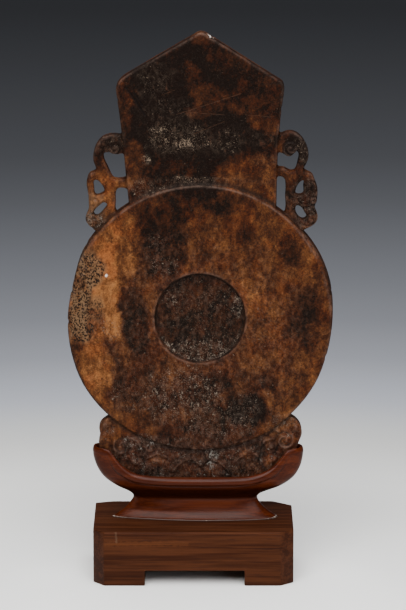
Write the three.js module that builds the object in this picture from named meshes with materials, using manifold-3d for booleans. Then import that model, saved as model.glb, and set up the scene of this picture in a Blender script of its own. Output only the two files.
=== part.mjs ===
// A jade carving of a bi disc on a pointed gui tablet, standing in a two-piece hardwood stand.
// Millimetres, +Z up, the carved front towards -Y and +X to the viewer's right.
// The origin is on the ground, under the middle of the disc's width and of the plinth's depth.

import * as THREE from 'three';
import { mergeVertices } from 'three/addons/utils/BufferGeometryUtils.js';
import Module from 'manifold-3d';

const wasm = await Module();
wasm.setup();

// ---------------------------------------------------------------- driving dimensions

// Plinth: a block with four hand-cut corners and an arch from front to back.
const PLINTH = { width: 90.4, depth: 52, height: 25, centre: -3 };
const ARCH = { width: 44.9, height: 7, centre: -2.4 };
// Width and depth taken off each corner of the plinth.
const CORNERS = { frontLeft: [5, 6.2], frontRight: [5.9, 5], backRight: [8.5, 6.8], backLeft: [8, 2.6] };

// Cradle: stations up its height, each with the height above the plinth, the reach to the left
// and to the right of the middle, and half the depth.
const CRADLE_STATIONS = [
  [0, 39.2, 34.2, 7.3],
  [1.3, 38.4, 33.6, 7.2],
  [4, 34.6, 30, 6],
  [7.4, 31.6, 26.9, 5.1],
  [10, 30.3, 26.1, 4.9],
  [11.6, 31.1, 27.6, 5.6],
  [13, 33.2, 30.7, 6.7],
  [15.2, 37.7, 36.5, 8.2],
  [19, 43.2, 42.1, 9.1],
  [24, 46.7, 45.4, 9.3],
  [30, 48.5, 46.8, 9.3],
  [37, 48.7, 47, 9.2],
];
// How full the cradle is in plan: 2 is an ellipse, less is pointed and more is squarer.
const FULLNESS = { footLeft: 1.5, footRight: 2.6, hull: 2.8, footTop: 4, hullBottom: 12 };
// The height of the cradle's rim above the plinth, from the left tip to the right one.
const RIM = [
  [-52, 34.2], [-47, 33.8], [-43.2, 33.4], [-40.8, 32.6], [-38, 28.8], [-34.4, 25.1], [-29, 22.1], [-20, 20.9],
  [0, 20.5], [20, 20.8], [27, 22.2], [32.6, 25.1], [36.4, 29], [39.4, 32.6], [42, 33.2], [46, 33.5], [50, 33.7],
];
const RIM_BEAD = 1.35;
const SOCKET = { left: 47.1, right: 45.1, clearance: 0.3 };

// Jade: sizes across the face, measured from the centre of the disc.
const DISC = { radius: 59.6, upright: 61, thickness: 10.4, edge: 1.1 };
// How far the disc's edge strays from a true oval, every 15 degrees anticlockwise from the right.
const DISC_WANDER = [
  0.1, 1.05, 1, 0.3, 0, 0, 0, 0, 0, 0.4, 0.7, -0.6, 0, 0.5, 1.05, 0.8, 0.3, 0, 0, 0, 0.1, 0.2, 0.2, -0.2,
];
const RECESS = { radius: 20.7, depth: 1.9, wall: 0.7, lip: 1.5, lipHeight: 0.35, backDepth: 1 };
const TABLET = { thickness: 8.4, edge: 0.9, apex: [0.6, 129.7], tip: 1.5 };
const EAR = { thickness: 6.4, edge: 0.7, curl: 0.5 };
const BASE = { left: 45.9, right: 44.6, thickness: 7.8, edge: 0.8, depth: 78, relief: 1 };
const LEAN = THREE.MathUtils.degToRad(1.2);
const SEAT = 40.5;

const COLOURS = { jade: 0x5a3a1e, cradle: 0x4a1f15, plinth: 0x4c2a1b };

// ---------------------------------------------------------------- joining and cutting

// A closed geometry as a solid that can be joined and cut.
function solidOf(geometry) {
  const bare = new THREE.BufferGeometry().setAttribute('position', geometry.getAttribute('position'));
  bare.setIndex(geometry.index);
  const merged = mergeVertices(bare, 1e-4);
  const corners = merged.index.array;
  const triangles = [];
  for (let i = 0; i < corners.length; i += 3) {
    const [a, b, c] = [corners[i], corners[i + 1], corners[i + 2]];
    if (a !== b && b !== c && c !== a) triangles.push(a, b, c);
  }
  return new wasm.Manifold(new wasm.Mesh({
    numProp: 3,
    vertProperties: new Float32Array(merged.attributes.position.array),
    triVerts: new Uint32Array(triangles),
  }));
}

function geometryOf(solid) {
  const mesh = solid.getMesh();
  const geometry = new THREE.BufferGeometry();
  geometry.setAttribute('position', new THREE.BufferAttribute(mesh.vertProperties, 3));
  geometry.setIndex(new THREE.BufferAttribute(mesh.triVerts, 1));
  return geometry;
}

function join(geometries) {
  return geometries.map(solidOf).reduce((whole, piece) => whole.add(piece));
}

function cut(solid, geometries) {
  return geometries.map(solidOf).reduce((rest, tool) => rest.subtract(tool), solid);
}

// ---------------------------------------------------------------- outlines and slabs

// A smooth closed outline through a few points.
function smoothOutline(points, steps) {
  const loop = new THREE.CatmullRomCurve3(points.map(([x, y]) => new THREE.Vector3(x, y, 0)), true);
  return new THREE.Shape(loop.getPoints(steps).slice(0, -1).map((p) => new THREE.Vector2(p.x, p.y)));
}

// A rolled band that follows [x, y, width] stations across the face, with a round nose at each
// end. Its heights run from -1 to 1.
function band(stations, sides, perStation = 2) {
  const rings = perStation * (stations.length - 1);
  const noses = [[0, -1], [0.75, -0.6]];
  const rod = turnedRod([...noses, ...Array.from({ length: rings + 1 }, (_, i) => [1, i]),
    ...noses.reverse().map(([radius, height]) => [radius, rings - height])], sides);
  const line = new THREE.SplineCurve(stations.map(([x, y]) => new THREE.Vector2(x, y)));
  const widths = new THREE.SplineCurve(stations.map(([, , width], i) => new THREE.Vector2(i, width)));
  const place = rod.getAttribute('position');
  for (let i = 0; i < place.count; i++) {
    const along = THREE.MathUtils.clamp(place.getZ(i), 0, rings);
    const middle = line.getPoint(along / rings);
    const way = line.getTangent(along / rings);
    const half = widths.getPoint(along / rings).y / 2;
    const beyond = (place.getZ(i) - along) * half;
    const across = place.getX(i) * half;
    const x = middle.x + way.x * beyond - way.y * across;
    place.setXYZ(i, x, middle.y + way.y * beyond + way.x * across, place.getY(i));
  }
  return rod;
}

// A rod along Z whose section is a square with well rounded corners.
function turnedRod(profile, sides) {
  const rod = turned(profile, sides);
  const place = rod.getAttribute('position');
  for (let i = 0; i < place.count; i++) {
    const [x, y] = [place.getX(i), place.getY(i)];
    const swell = Math.hypot(x, y) / ((Math.abs(x) ** 3 + Math.abs(y) ** 3) ** (1 / 3) || 1);
    place.setXY(i, x * swell, y * swell);
  }
  return rod;
}

// An outline given thickness from one height to another, with its edges eased over.
function slab(outline, low, high, ease, segments = 2) {
  const geometry = new THREE.ExtrudeGeometry(outline, {
    depth: high - low - 2 * ease,
    bevelEnabled: ease > 0,
    bevelThickness: ease,
    bevelSize: ease,
    bevelOffset: -ease,
    bevelSegments: segments,
    curveSegments: 6,
  });
  return geometry.translate(0, 0, low + ease);
}

// A turned form whose profile of [radius, height] points stands on the face of the carving.
function turned(profile, segments) {
  const points = profile.map(([radius, height]) => new THREE.Vector2(radius, height));
  return new THREE.LatheGeometry(points, segments).rotateX(Math.PI / 2);
}

// A round or oval swelling on the face, with heights from -1 to 1.
function boss([x, y], across, along, tilt = 0) {
  const dome = new THREE.SphereGeometry(1, 10, 5).rotateX(Math.PI / 2);
  return dome.scale(across, along, 1).rotateZ(tilt).translate(x, y, 0);
}

// A form with heights from -1 to 1, sunk a little into a face so that its upper part stands out of it.
function onFace(form, face, height) {
  const sunk = 0.35;
  return form.scale(1, 1, height + sunk).translate(0, 0, face - sunk);
}

// The stations of a scroll that winds inwards from its outer end and thins as it goes.
function scroll([x, y], radius, turns, start, width) {
  const count = Math.round(5 * Math.abs(turns)) + 2;
  return Array.from({ length: count }, (_, i) => {
    const part = i / (count - 1);
    const angle = start + part * turns * 2 * Math.PI;
    const reach = radius * (1 - 0.82 * part);
    return [x + reach * Math.cos(angle), y + reach * Math.sin(angle), width * (1 - 0.35 * part)];
  });
}

// ---------------------------------------------------------------- the jade, carved face up

// The disc isn't quite true: its edge wanders a little as it goes round.
function discOutline() {
  const strays = new THREE.CatmullRomCurve3(DISC_WANDER.map((stray) => new THREE.Vector3(0, stray, 0)), true, 'catmullrom');
  const points = Array.from({ length: 96 }, (_, i) => {
    const angle = (i / 96) * 2 * Math.PI;
    const stray = strays.getPoint(i / 96).y;
    return new THREE.Vector2((DISC.radius + stray) * Math.cos(angle), (DISC.upright + stray) * Math.sin(angle));
  });
  return new THREE.Shape(points);
}

function disc() {
  const half = DISC.thickness / 2;
  const body = solidOf(slab(discOutline(), -half, half, DISC.edge));
  const { radius, depth, wall, lip, lipHeight, backDepth } = RECESS;
  const lipRing = turned([
    [radius - 0.4, half - 1], [radius + lip, half - 1], [radius + lip, half - 0.1],
    [radius + lip / 2, half + lipHeight], [radius - 0.4, half], [radius - 0.4, half - 1],
  ], 48);
  const front = turned([[0, half - depth], [radius - wall, half - depth], [radius, half + 1], [0, half + 1]], 48);
  const back = turned([[0, -half - 1], [radius, -half - 1], [radius - wall, backDepth - half], [0, backDepth - half]], 36);
  return cut(body.add(solidOf(lipRing)), [front, back]);
}

// The gui tablet: a blunt point, two shoulders, and sides that draw in towards the disc.
function tablet() {
  const [apexX, apexY] = TABLET.apex;
  const outline = new THREE.Shape();
  outline.moveTo(-29.6, 30);
  outline.lineTo(34, 30);
  outline.lineTo(34.2, 53);
  outline.quadraticCurveTo(34.4, 77, 35.9, 91);
  outline.lineTo(37.3, 102.4);
  outline.quadraticCurveTo(37.9, 106, 36.2, 107.3);
  outline.lineTo(apexX + 1.7 * TABLET.tip, apexY - TABLET.tip);
  outline.quadraticCurveTo(apexX, apexY + 0.4, apexX - 1.7 * TABLET.tip, apexY - TABLET.tip);
  outline.lineTo(-32.4, 110.4);
  outline.quadraticCurveTo(-37.3, 107.4, -37.4, 103.5);
  outline.lineTo(-35.2, 87);
  outline.closePath();
  return slab(outline, -TABLET.thickness / 2, TABLET.thickness / 2, TABLET.edge);
}

// Each ear is a pierced plate of scrolls with its curls swelling a little from both faces.
// The inner part of its outline and of its widest piercings lies buried in the tablet and the disc.
const LEFT_EAR = {
  outline: [
    [-31, 82.4], [-35.1, 83], [-39.6, 83.4], [-43.8, 81.8], [-46.4, 78.4], [-47.6, 74.4], [-47.5, 70.8], [-46.4, 68.2],
    [-46.7, 66.8], [-49.2, 65.8], [-50.5, 62.8], [-50.6, 60], [-49.9, 56], [-49.8, 52], [-49.7, 49.4], [-50.9, 46.8],
    [-51.3, 44.2], [-49.6, 41.6], [-46.8, 39.6], [-42, 36], [-33, 42], [-27, 50], [-27, 66], [-28, 78],
  ],
  piercings: [
    [[-42.9, 75], [-40.6, 75], [-37.6, 73.9], [-34, 74.8], [-31.2, 72], [-30.6, 67], [-31.2, 64.2], [-34.5, 63.3],
      [-38.6, 63.4], [-40.2, 66.2], [-41.5, 69.2], [-42.8, 72]],
    [[-37.2, 58.8], [-33, 58.8], [-29.6, 56], [-29.6, 50], [-33, 47], [-37.4, 47.4], [-37.7, 53]],
    [[-47.5, 62.5], [-46, 62.8], [-44, 60.8], [-42.5, 57.6], [-44.4, 56.2], [-46.8, 55.7], [-47.4, 59]],
    [[-47.4, 48.6], [-45.1, 51], [-42.9, 52.6], [-41.4, 51.6], [-43, 49], [-45.7, 46.4], [-47.3, 46.6]],
  ],
  curls: [[[-38, 77], 3], [[-48.3, 43.3], 2.6], [[-47.2, 53.2], 2]],
};
const RIGHT_EAR = {
  outline: [
    [28, 76], [27, 66], [27, 50], [33, 42], [42, 36], [46.4, 39.8], [49.2, 41.2], [51.8, 43.2], [52.8, 45.8],
    [51.9, 48.6], [51.2, 50.4], [52.2, 52.6], [52.5, 55.5], [52.5, 59], [51.1, 63], [49.9, 65.5], [47.6, 66.6],
    [46.3, 67.8], [47.2, 69.4], [48.3, 72], [48.4, 75.8], [46.8, 79.9], [44, 83.4], [40.4, 84.8], [36.6, 83.8], [31, 81],
  ],
  piercings: [
    [[32, 74.8], [35.6, 75.2], [38, 73.8], [40, 73.3], [41.8, 74.1], [43.2, 76], [44.1, 74], [43.5, 70.6],
      [42.4, 67.2], [40.2, 66.8], [37.6, 68.2], [34.6, 68.4], [31.6, 68.8], [30.6, 71]],
    [[33, 64.1], [36.6, 64.2], [38.2, 62.6], [38.1, 55], [38, 47.6], [34.6, 46], [30.6, 48], [30.2, 56], [30.8, 62.4]],
    [[42.6, 56.3], [43.2, 59.6], [44.8, 61.9], [46.7, 62.7], [46.1, 60], [46.4, 56.6], [44.5, 55.9]],
    [[42.9, 51.2], [44.9, 50.8], [46.7, 48.2], [47.9, 45.9], [46.2, 44.8], [44.3, 45.6], [42.8, 48.2]],
  ],
  curls: [[[40.5, 77], 3.2], [[49.2, 59.8], 2.5], [[49.9, 53.8], 2], [[50, 44.6], 2]],
};

function ear({ outline, piercings, curls }) {
  const half = EAR.thickness / 2;
  const plate = smoothOutline(outline, 2 * outline.length);
  plate.holes = piercings.map((points) => smoothOutline(points, 2 * points.length));
  const swellings = curls.map(([place, radius]) => onFace(boss(place, radius, radius), half, EAR.curl));
  return [slab(plate, -half, half, EAR.edge, 1), ...swellings];
}

// The cloud base: a lobe at each end, and an underside that dips towards the middle.
function baseOutline(grow = 0) {
  const left = [
    [-38.6, -44.6], [-42, -46.4], [-44.6, -48.4], [-45.7, -50.8], [-45.2, -53.6], [-BASE.left, -58], [-44.8, -62.6],
    [-41.2, -67.4], [-35.4, -71.9], [-27, -75.7], [-16, -77.6],
  ];
  const right = [
    [16, -77.6], [27, -75.8], [35.2, -72], [40.6, -67.2], [43.4, -62], [BASE.right, -58], [46.1, -54], [45.6, -50.4],
    [44, -47.8], [41.4, -45.8], [38.4, -44.4],
  ];
  const points = [...left, [0, -BASE.depth], ...right, [0, -30]];
  return smoothOutline(points.map(([x, y]) => [x, y - grow]), 60);
}

// Cloud scrolls in low relief along the base, and the oval swellings between them.
function baseRelief() {
  const ridges = [
    scroll([-35.4, -59.4], 4, 1.2, 2.4, 2.3),
    scroll([38.2, -56.8], 4.1, -1.2, 0.6, 2.3),
    scroll([-22.6, -60.4], 2.3, 0.9, 1.2, 1.6),
    scroll([24.8, -65], 2.4, -0.9, 2, 1.6),
    [[-32.4, -55.4, 1.6], [-28.6, -56.6, 2.1], [-26.5, -59.6, 2.1], [-26.9, -63.6, 1.4]],
    [[-24.6, -65.4, 1.3], [-19.6, -62.8, 1.9], [-15.2, -64.4, 1.3]],
    [[29.8, -53.8, 1.2], [32.6, -51.4, 1.5], [35.4, -52.6, 1.2]],
    [[27, -60.4, 1.3], [29.4, -56.6, 1.8], [33.6, -55.8, 1.3]],
    [[16.4, -66.2, 1.3], [20.6, -62.6, 1.9], [25.6, -60.4, 1.3]],
    [[-12.4, -71, 1.5], [-8.2, -66.4, 2], [-3.4, -65.4, 1.8], [0, -68.2, 1.5]],
    [[12.8, -71, 1.5], [8.8, -66.6, 2], [3.8, -65.4, 1.8], [0.8, -68.2, 1.5]],
  ];
  const ovals = [
    boss([-42.8, -49.8], 1.7, 2.1, 0.3),
    boss([-39.6, -54], 2.2, 2.7, 0.2),
    boss([-20.2, -66.2], 2.7, 1.6, 0.1),
    boss([-29.6, -67], 2.4, 1.5, -0.5),
    boss([22.2, -63.4], 2.4, 1.4, 0.25),
    boss([32.2, -59.4], 2, 1.6, 0.4),
    boss([33, -66], 2.7, 1.5, 0.5),
    boss([43.2, -50.8], 1.5, 2.2, -0.2),
  ];
  return [...ridges.map((stations) => band(stations, 6)), ...ovals]
    .map((relief) => onFace(relief, BASE.thickness / 2, BASE.relief));
}

function jadeGeometry() {
  const half = BASE.thickness / 2;
  const pieces = [
    tablet(),
    slab(baseOutline(), -half, half, BASE.edge),
    ...ear(LEFT_EAR),
    ...ear(RIGHT_EAR),
    ...baseRelief(),
  ];
  return geometryOf(disc().add(join(pieces)));
}

// ---------------------------------------------------------------- the stand

// A value read off the cradle's stations at a height, by straight steps between them.
function stationValue(height, column) {
  const above = CRADLE_STATIONS.findIndex(([level]) => level >= height);
  if (above <= 0) return CRADLE_STATIONS[above === 0 ? 0 : CRADLE_STATIONS.length - 1][column];
  const [low, high] = [CRADLE_STATIONS[above - 1], CRADLE_STATIONS[above]];
  return THREE.MathUtils.mapLinear(height, low[0], high[0], low[column], high[column]);
}

// A point on the cradle's hull, by its angle in plan and its height above the plinth.
function hullPoint(angle, height) {
  const rise = THREE.MathUtils.smoothstep(height, FULLNESS.footTop, FULLNESS.hullBottom);
  const leftSide = Math.cos(angle) < 0;
  const fullness = THREE.MathUtils.lerp(leftSide ? FULLNESS.footLeft : FULLNESS.footRight, FULLNESS.hull, rise);
  const reach = stationValue(height, leftSide ? 1 : 2);
  const bend = (value) => Math.sign(value) * Math.abs(value) ** (2 / fullness);
  return new THREE.Vector3(reach * bend(Math.cos(angle)), stationValue(height, 3) * bend(Math.sin(angle)), height);
}

const rimCurve = new THREE.SplineCurve(RIM.map(([x, height]) => new THREE.Vector2(x, height)));
const rimLine = rimCurve.getPoints(36);

function rimHeight(x) {
  const after = Math.max(1, rimLine.findIndex((point) => point.x >= x));
  const [from, to] = [rimLine[after - 1], rimLine[after]];
  return THREE.MathUtils.mapLinear(x, from.x, to.x, from.y, to.y);
}

// The boat-shaped hull on its flared foot, from the plinth up to above the tips.
function hull() {
  const top = CRADLE_STATIONS.at(-1)[0];
  const heights = CRADLE_STATIONS.map(([height]) => new THREE.Vector2(1, height));
  const body = new THREE.LatheGeometry([new THREE.Vector2(0, 0), ...heights, new THREE.Vector2(0, top)], 32);
  const place = body.getAttribute('position');
  for (let i = 0; i < place.count; i++) {
    const onAxis = Math.hypot(place.getX(i), place.getZ(i)) < 0.5;
    const height = place.getY(i);
    const point = onAxis ? new THREE.Vector3(0, 0, height) : hullPoint(Math.atan2(-place.getZ(i), place.getX(i)), height);
    place.setXYZ(i, point.x, point.y, point.z);
  }
  return body;
}

// The rounded bead that runs round the rim of the cradle.
function rimBead() {
  const ring = new THREE.TorusGeometry(10, 1, 5, 44);
  const place = ring.getAttribute('position');
  for (let i = 0; i < place.count; i++) {
    const angle = Math.atan2(place.getY(i), place.getX(i));
    const outwards = Math.hypot(place.getX(i), place.getY(i)) - 10;
    let point = hullPoint(angle, RIM[0][1]);
    for (let pass = 0; pass < 24; pass++) {
      point = hullPoint(angle, THREE.MathUtils.lerp(point.z, rimHeight(point.x), 0.5));
    }
    const inset = point.clone().setZ(0).normalize().multiplyScalar(RIM_BEAD * (outwards - 0.75));
    place.setXYZ(i, point.x + inset.x, point.y + inset.y, point.z + RIM_BEAD * (place.getZ(i) - 0.6));
  }
  return ring;
}

// What lies above the rim, as one block to cut away.
function aboveRim() {
  const outline = new THREE.Shape(rimLine);
  outline.lineTo(RIM.at(-1)[0], 60);
  outline.lineTo(RIM[0][0], 60);
  const block = new THREE.ExtrudeGeometry(outline, { depth: 40, bevelEnabled: false });
  return block.rotateX(Math.PI / 2).translate(0, 20, 0);
}

// The slot that the jade stands in, as deep as the underside of its base and leaning with it.
// Its front wall stands clear of the relief, which has to pass it when the jade is lowered in.
function socket() {
  const half = BASE.thickness / 2 + SOCKET.clearance;
  const stretch = (x) => (x < 0 ? SOCKET.left / BASE.left : SOCKET.right / BASE.right);
  const underside = baseOutline(SOCKET.clearance).getPoints().filter((point) => point.y < -57);
  const outline = new THREE.Shape(underside.map((point) => new THREE.Vector2(point.x * stretch(point.x), point.y)));
  outline.lineTo(SOCKET.right, -40);
  outline.lineTo(-SOCKET.left, -40);
  return slab(outline, -half, half + BASE.relief, 0);
}

function cradleGeometry(jadePlace) {
  const tool = socket().applyMatrix4(jadePlace);
  tool.translate(0, 0, -PLINTH.height);
  const body = cut(solidOf(hull()), [aboveRim()]).add(solidOf(rimBead()));
  return geometryOf(cut(body, [tool]));
}

function plinthGeometry() {
  const [halfWidth, halfDepth] = [PLINTH.width / 2, PLINTH.depth / 2];
  const plan = new THREE.Shape([
    [-halfWidth + CORNERS.frontLeft[0], -halfDepth],
    [halfWidth - CORNERS.frontRight[0], -halfDepth],
    [halfWidth, -halfDepth + CORNERS.frontRight[1]],
    [halfWidth, halfDepth - CORNERS.backRight[1]],
    [halfWidth - CORNERS.backRight[0], halfDepth],
    [-halfWidth + CORNERS.backLeft[0], halfDepth],
    [-halfWidth, halfDepth - CORNERS.backLeft[1]],
    [-halfWidth, -halfDepth + CORNERS.frontLeft[1]],
  ].map(([x, y]) => new THREE.Vector2(x, y)));
  const block = new THREE.ExtrudeGeometry(plan, { depth: PLINTH.height, bevelEnabled: false });
  const arch = new THREE.BoxGeometry(ARCH.width, PLINTH.depth + 2, 2 * ARCH.height);
  arch.translate(ARCH.centre - PLINTH.centre, 0, 0);
  return geometryOf(cut(solidOf(block), [arch]));
}

// ---------------------------------------------------------------- the model

function named(name, geometry, colour, roughness) {
  const material = new THREE.MeshStandardMaterial({ color: colour, roughness, metalness: 0 });
  const mesh = new THREE.Mesh(geometry, material);
  mesh.name = name;
  return mesh;
}

const part = new THREE.Group();

// The jade is modelled lying on its back about the centre of its disc, then stood up and leant back.
const jadeStance = new THREE.Group();
jadeStance.rotation.x = Math.PI / 2 - LEAN;
jadeStance.position.set(0, BASE.depth * Math.sin(LEAN), SEAT + BASE.depth * Math.cos(LEAN));
jadeStance.updateMatrix();
jadeStance.add(named('jade_gui_bi', jadeGeometry(), COLOURS.jade, 0.45));
part.add(jadeStance);

const cradle = named('wooden_cradle', cradleGeometry(jadeStance.matrix), COLOURS.cradle, 0.35);
cradle.position.z = PLINTH.height;
part.add(cradle);

const plinth = named('wooden_plinth', plinthGeometry(), COLOURS.plinth, 0.45);
plinth.position.x = PLINTH.centre;
part.add(plinth);

export default part;
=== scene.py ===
"""Carved jade disc, tablet and cloud base on a two-piece hardwood stand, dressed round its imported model."""

import math

import bmesh
import bpy
import numpy as np
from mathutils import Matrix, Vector


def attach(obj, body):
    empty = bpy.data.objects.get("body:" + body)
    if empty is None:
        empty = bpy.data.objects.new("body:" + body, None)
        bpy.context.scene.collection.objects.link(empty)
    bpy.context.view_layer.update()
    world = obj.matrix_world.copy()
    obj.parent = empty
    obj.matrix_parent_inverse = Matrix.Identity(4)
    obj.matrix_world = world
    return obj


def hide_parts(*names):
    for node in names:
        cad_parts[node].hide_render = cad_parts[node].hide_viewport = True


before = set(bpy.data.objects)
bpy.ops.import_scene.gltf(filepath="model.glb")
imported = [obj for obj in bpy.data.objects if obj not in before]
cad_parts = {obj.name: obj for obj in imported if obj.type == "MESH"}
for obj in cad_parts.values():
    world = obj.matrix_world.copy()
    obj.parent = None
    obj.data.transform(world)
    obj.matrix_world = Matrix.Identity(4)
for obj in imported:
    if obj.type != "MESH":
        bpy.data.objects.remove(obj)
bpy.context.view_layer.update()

bl_info = {
    "name": "Carved jade disc on a stand",
    "version": (1, 0, 0),
    "blender": (4, 5, 0),
    "location": "View3D > Sidebar > Jade disc",
    "description": "Builds a weathered jade disc and tablet on a polished hardwood cradle and plinth",
    "category": "Object",
}

# One millimetre, in metres.
MM = 0.001
BODY = "root"

# The jade's own plane: the middle of the disc, in metres, and how far the carving leans back.
DISC_CENTRE = Vector((0.0, 0.0016, 0.1185))
LEAN = math.radians(1.2)
# Half the disc's width, half its height and the recess's radius, in millimetres.
DISC_RADIUS = 59.6
DISC_UPRIGHT = 61.0
RECESS_RADIUS = 20.7
# Height of the plinth's upper face, in metres.
PLINTH_TOP = 0.025


# ------------------------------------------------------------------ settings


def colour(name, description, default):
    """A linear colour setting."""
    return bpy.props.FloatVectorProperty(
        name=name, description=description, subtype="COLOR", size=3, min=0.0, max=1.0, default=default
    )


def length(name, description, default):
    """A length setting, in metres."""
    return bpy.props.FloatProperty(
        name=name, description=description, default=default, unit="LENGTH", precision=5
    )


def factor(name, description, default):
    """A plain number from 0 to 1."""
    return bpy.props.FloatProperty(
        name=name, description=description, default=default, min=0.0, max=1.0, subtype="FACTOR"
    )


class JadeSettings(bpy.types.PropertyGroup):
    """Sizes and colours of the carving"""

    grid: length("Grid", "Spacing of the sculpted surface", 0.0005)
    relief: length("Surface relief", "Height of the lumps and hollows on the face", 0.00012)
    budget: bpy.props.IntProperty(name="Triangles", description="Most triangles to keep", default=190000)
    night: colour("Darkest brown", "Colour of the darkest cloudy areas", (0.0044, 0.0021, 0.0013))
    russet: colour("Russet", "Colour of the red-brown areas", (0.027, 0.0082, 0.0032))
    honey: colour("Honey", "Colour of the orange-brown areas", (0.078, 0.0272, 0.0086))
    amber: colour("Amber", "Colour of the palest, clearest areas", (0.172, 0.0670, 0.0200))
    ash: colour("Ash", "Colour of the chalky, weathered side", (0.108, 0.062, 0.032))
    earth: colour("Earth", "Colour of the dry earth in the hollows", (0.150, 0.118, 0.092))
    clay: colour("Clay", "Colour of the earth high on the tablet", (0.158, 0.114, 0.080))
    dust: colour("Dust", "Colour of the earth on the base", (0.152, 0.138, 0.120))


class CradleSettings(bpy.types.PropertyGroup):
    """Finish of the polished cradle"""

    turns: bpy.props.IntProperty(name="Steps round", description="Divisions round the cradle", default=224)
    dark: colour("Dark wood", "Colour of the dark streaks", (0.027, 0.0043, 0.0010))
    light: colour("Light wood", "Colour of the light streaks", (0.055, 0.0104, 0.0025))
    lacquer: factor("Lacquer", "Strength of the clear coat", 0.095)


class PlinthSettings(bpy.types.PropertyGroup):
    """Finish of the plinth"""

    edge: length("Edge", "Radius of the rubbed edges", 0.0005)
    dark: colour("Dark wood", "Colour of the dark streaks", (0.0190, 0.0052, 0.0021))
    light: colour("Light wood", "Colour of the light streaks", (0.0450, 0.0138, 0.0053))


class GlueSettings(bpy.types.PropertyGroup):
    """The squeezed-out glue"""

    width: length("Width", "Radius of the glue line", 0.00043)
    tone: colour("Glue", "Colour of the dusty glue", (0.20, 0.165, 0.14))


class StageSettings(bpy.types.PropertyGroup):
    """Floor, camera and lights"""

    distance: length("Camera distance", "From the camera to the middle of the object", 1.7)
    lens: bpy.props.FloatProperty(name="Lens", description="Focal length in millimetres", default=222.9)
    pitch: bpy.props.FloatProperty(
        name="Pitch", description="How far the camera looks down", default=math.radians(13), subtype="ANGLE"
    )
    near: colour("Near floor", "Colour of the floor round the object", (0.80, 0.80, 0.79))
    far: colour("Far floor", "Colour of the floor far from the object", (0.0485, 0.0505, 0.0565))


# ------------------------------------------------------------------ noise and small mesh helpers


def hashed(cell, seed):
    """A repeatable value from 0 to 1 for each whole-numbered cell."""
    mixed = (cell[..., 0] * 73856093) ^ (cell[..., 1] * 19349663) ^ (cell[..., 2] * 83492791)
    mixed = mixed ^ (seed * 2654435761)
    mixed = (mixed ^ (mixed >> 13)) * 1274126177
    mixed = mixed ^ (mixed >> 16)
    return (mixed & 0xFFFFFF) / float(0xFFFFFF)


def lumps(points, size, seed):
    """Smooth noise from 0 to 1 with lumps of about the given size; points are in millimetres."""
    scaled = points / size
    base = np.floor(scaled).astype(np.int64)
    part = scaled - base
    part = part * part * (3.0 - 2.0 * part)
    total = np.zeros(len(points))
    for dx in (0, 1):
        wx = part[:, 0] if dx else 1.0 - part[:, 0]
        for dy in (0, 1):
            wy = part[:, 1] if dy else 1.0 - part[:, 1]
            for dz in (0, 1):
                wz = part[:, 2] if dz else 1.0 - part[:, 2]
                total += wx * wy * wz * hashed(base + np.array((dx, dy, dz)), seed)
    return total


def layered(points, size, seed, octaves=3):
    """Several sizes of noise laid over each other, from 0 to 1."""
    total, weight, share = np.zeros(len(points)), 0.0, 1.0
    for octave in range(octaves):
        total += share * lumps(points, size / 2**octave, seed + 17 * octave)
        weight += share
        share *= 0.55
    return total / weight


def ramp(value, low, high):
    """0 below low, 1 above high and smooth between them."""
    part = np.clip((value - low) / (high - low), 0.0, 1.0)
    return part * part * (3.0 - 2.0 * part)


def merged_copy(node, name):
    """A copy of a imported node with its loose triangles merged, ready to be worked on."""
    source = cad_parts[node]
    mesh = source.data.copy()
    mesh.name = name
    work = bmesh.new()
    work.from_mesh(mesh)
    bmesh.ops.remove_doubles(work, verts=work.verts, dist=2e-6)
    work.to_mesh(mesh)
    work.free()
    mesh.materials.clear()
    obj = bpy.data.objects.new(name, mesh)
    bpy.context.scene.collection.objects.link(obj)
    return obj


def settle(obj, name, kind, **values):
    """Adds a modifier and takes its result as the object's own mesh."""
    modifier = obj.modifiers.new(name, kind)
    for key, value in values.items():
        setattr(modifier, key, value)
    bpy.context.view_layer.update()
    done = bpy.data.meshes.new_from_object(obj.evaluated_get(bpy.context.evaluated_depsgraph_get()))
    obj.modifiers.remove(modifier)
    obj.data = done
    return obj


def coordinates(mesh):
    """The mesh's points as an array, in metres."""
    points = np.empty(len(mesh.vertices) * 3)
    mesh.vertices.foreach_get("co", points)
    return points.reshape(-1, 3)


def normals(mesh):
    """The mesh's point normals as an array."""
    out = np.empty(len(mesh.vertices) * 3, np.float32)
    mesh.vertex_normals.foreach_get("vector", out)
    return out.reshape(-1, 3).astype(float)


def put_back(mesh, points):
    """Writes moved points to the mesh."""
    mesh.vertices.foreach_set("co", points.astype(np.float32).ravel())
    mesh.update()


def edge_pairs(mesh):
    """The two point numbers of every edge."""
    pairs = np.empty(len(mesh.edges) * 2, np.int64)
    mesh.edges.foreach_get("vertices", pairs)
    return pairs.reshape(-1, 2)


def neighbour_mean(values, pairs, count):
    """The mean of each point's neighbours, for one or three numbers a point."""
    total = np.zeros_like(values)
    np.add.at(total, pairs[:, 0], values[pairs[:, 1]])
    np.add.at(total, pairs[:, 1], values[pairs[:, 0]])
    return total / (count[:, None] if values.ndim == 2 else count)


def relax(points, pairs, weight, passes):
    """Smooths the points by their weights without shrinking the form much."""
    count = np.maximum(np.bincount(pairs.ravel(), minlength=len(points)), 1).astype(float)
    for _ in range(passes):
        points = points + 0.5 * weight[:, None] * (neighbour_mean(points, pairs, count) - points)
        points = points - 0.33 * weight[:, None] * (neighbour_mean(points, pairs, count) - points)
    return points


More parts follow.
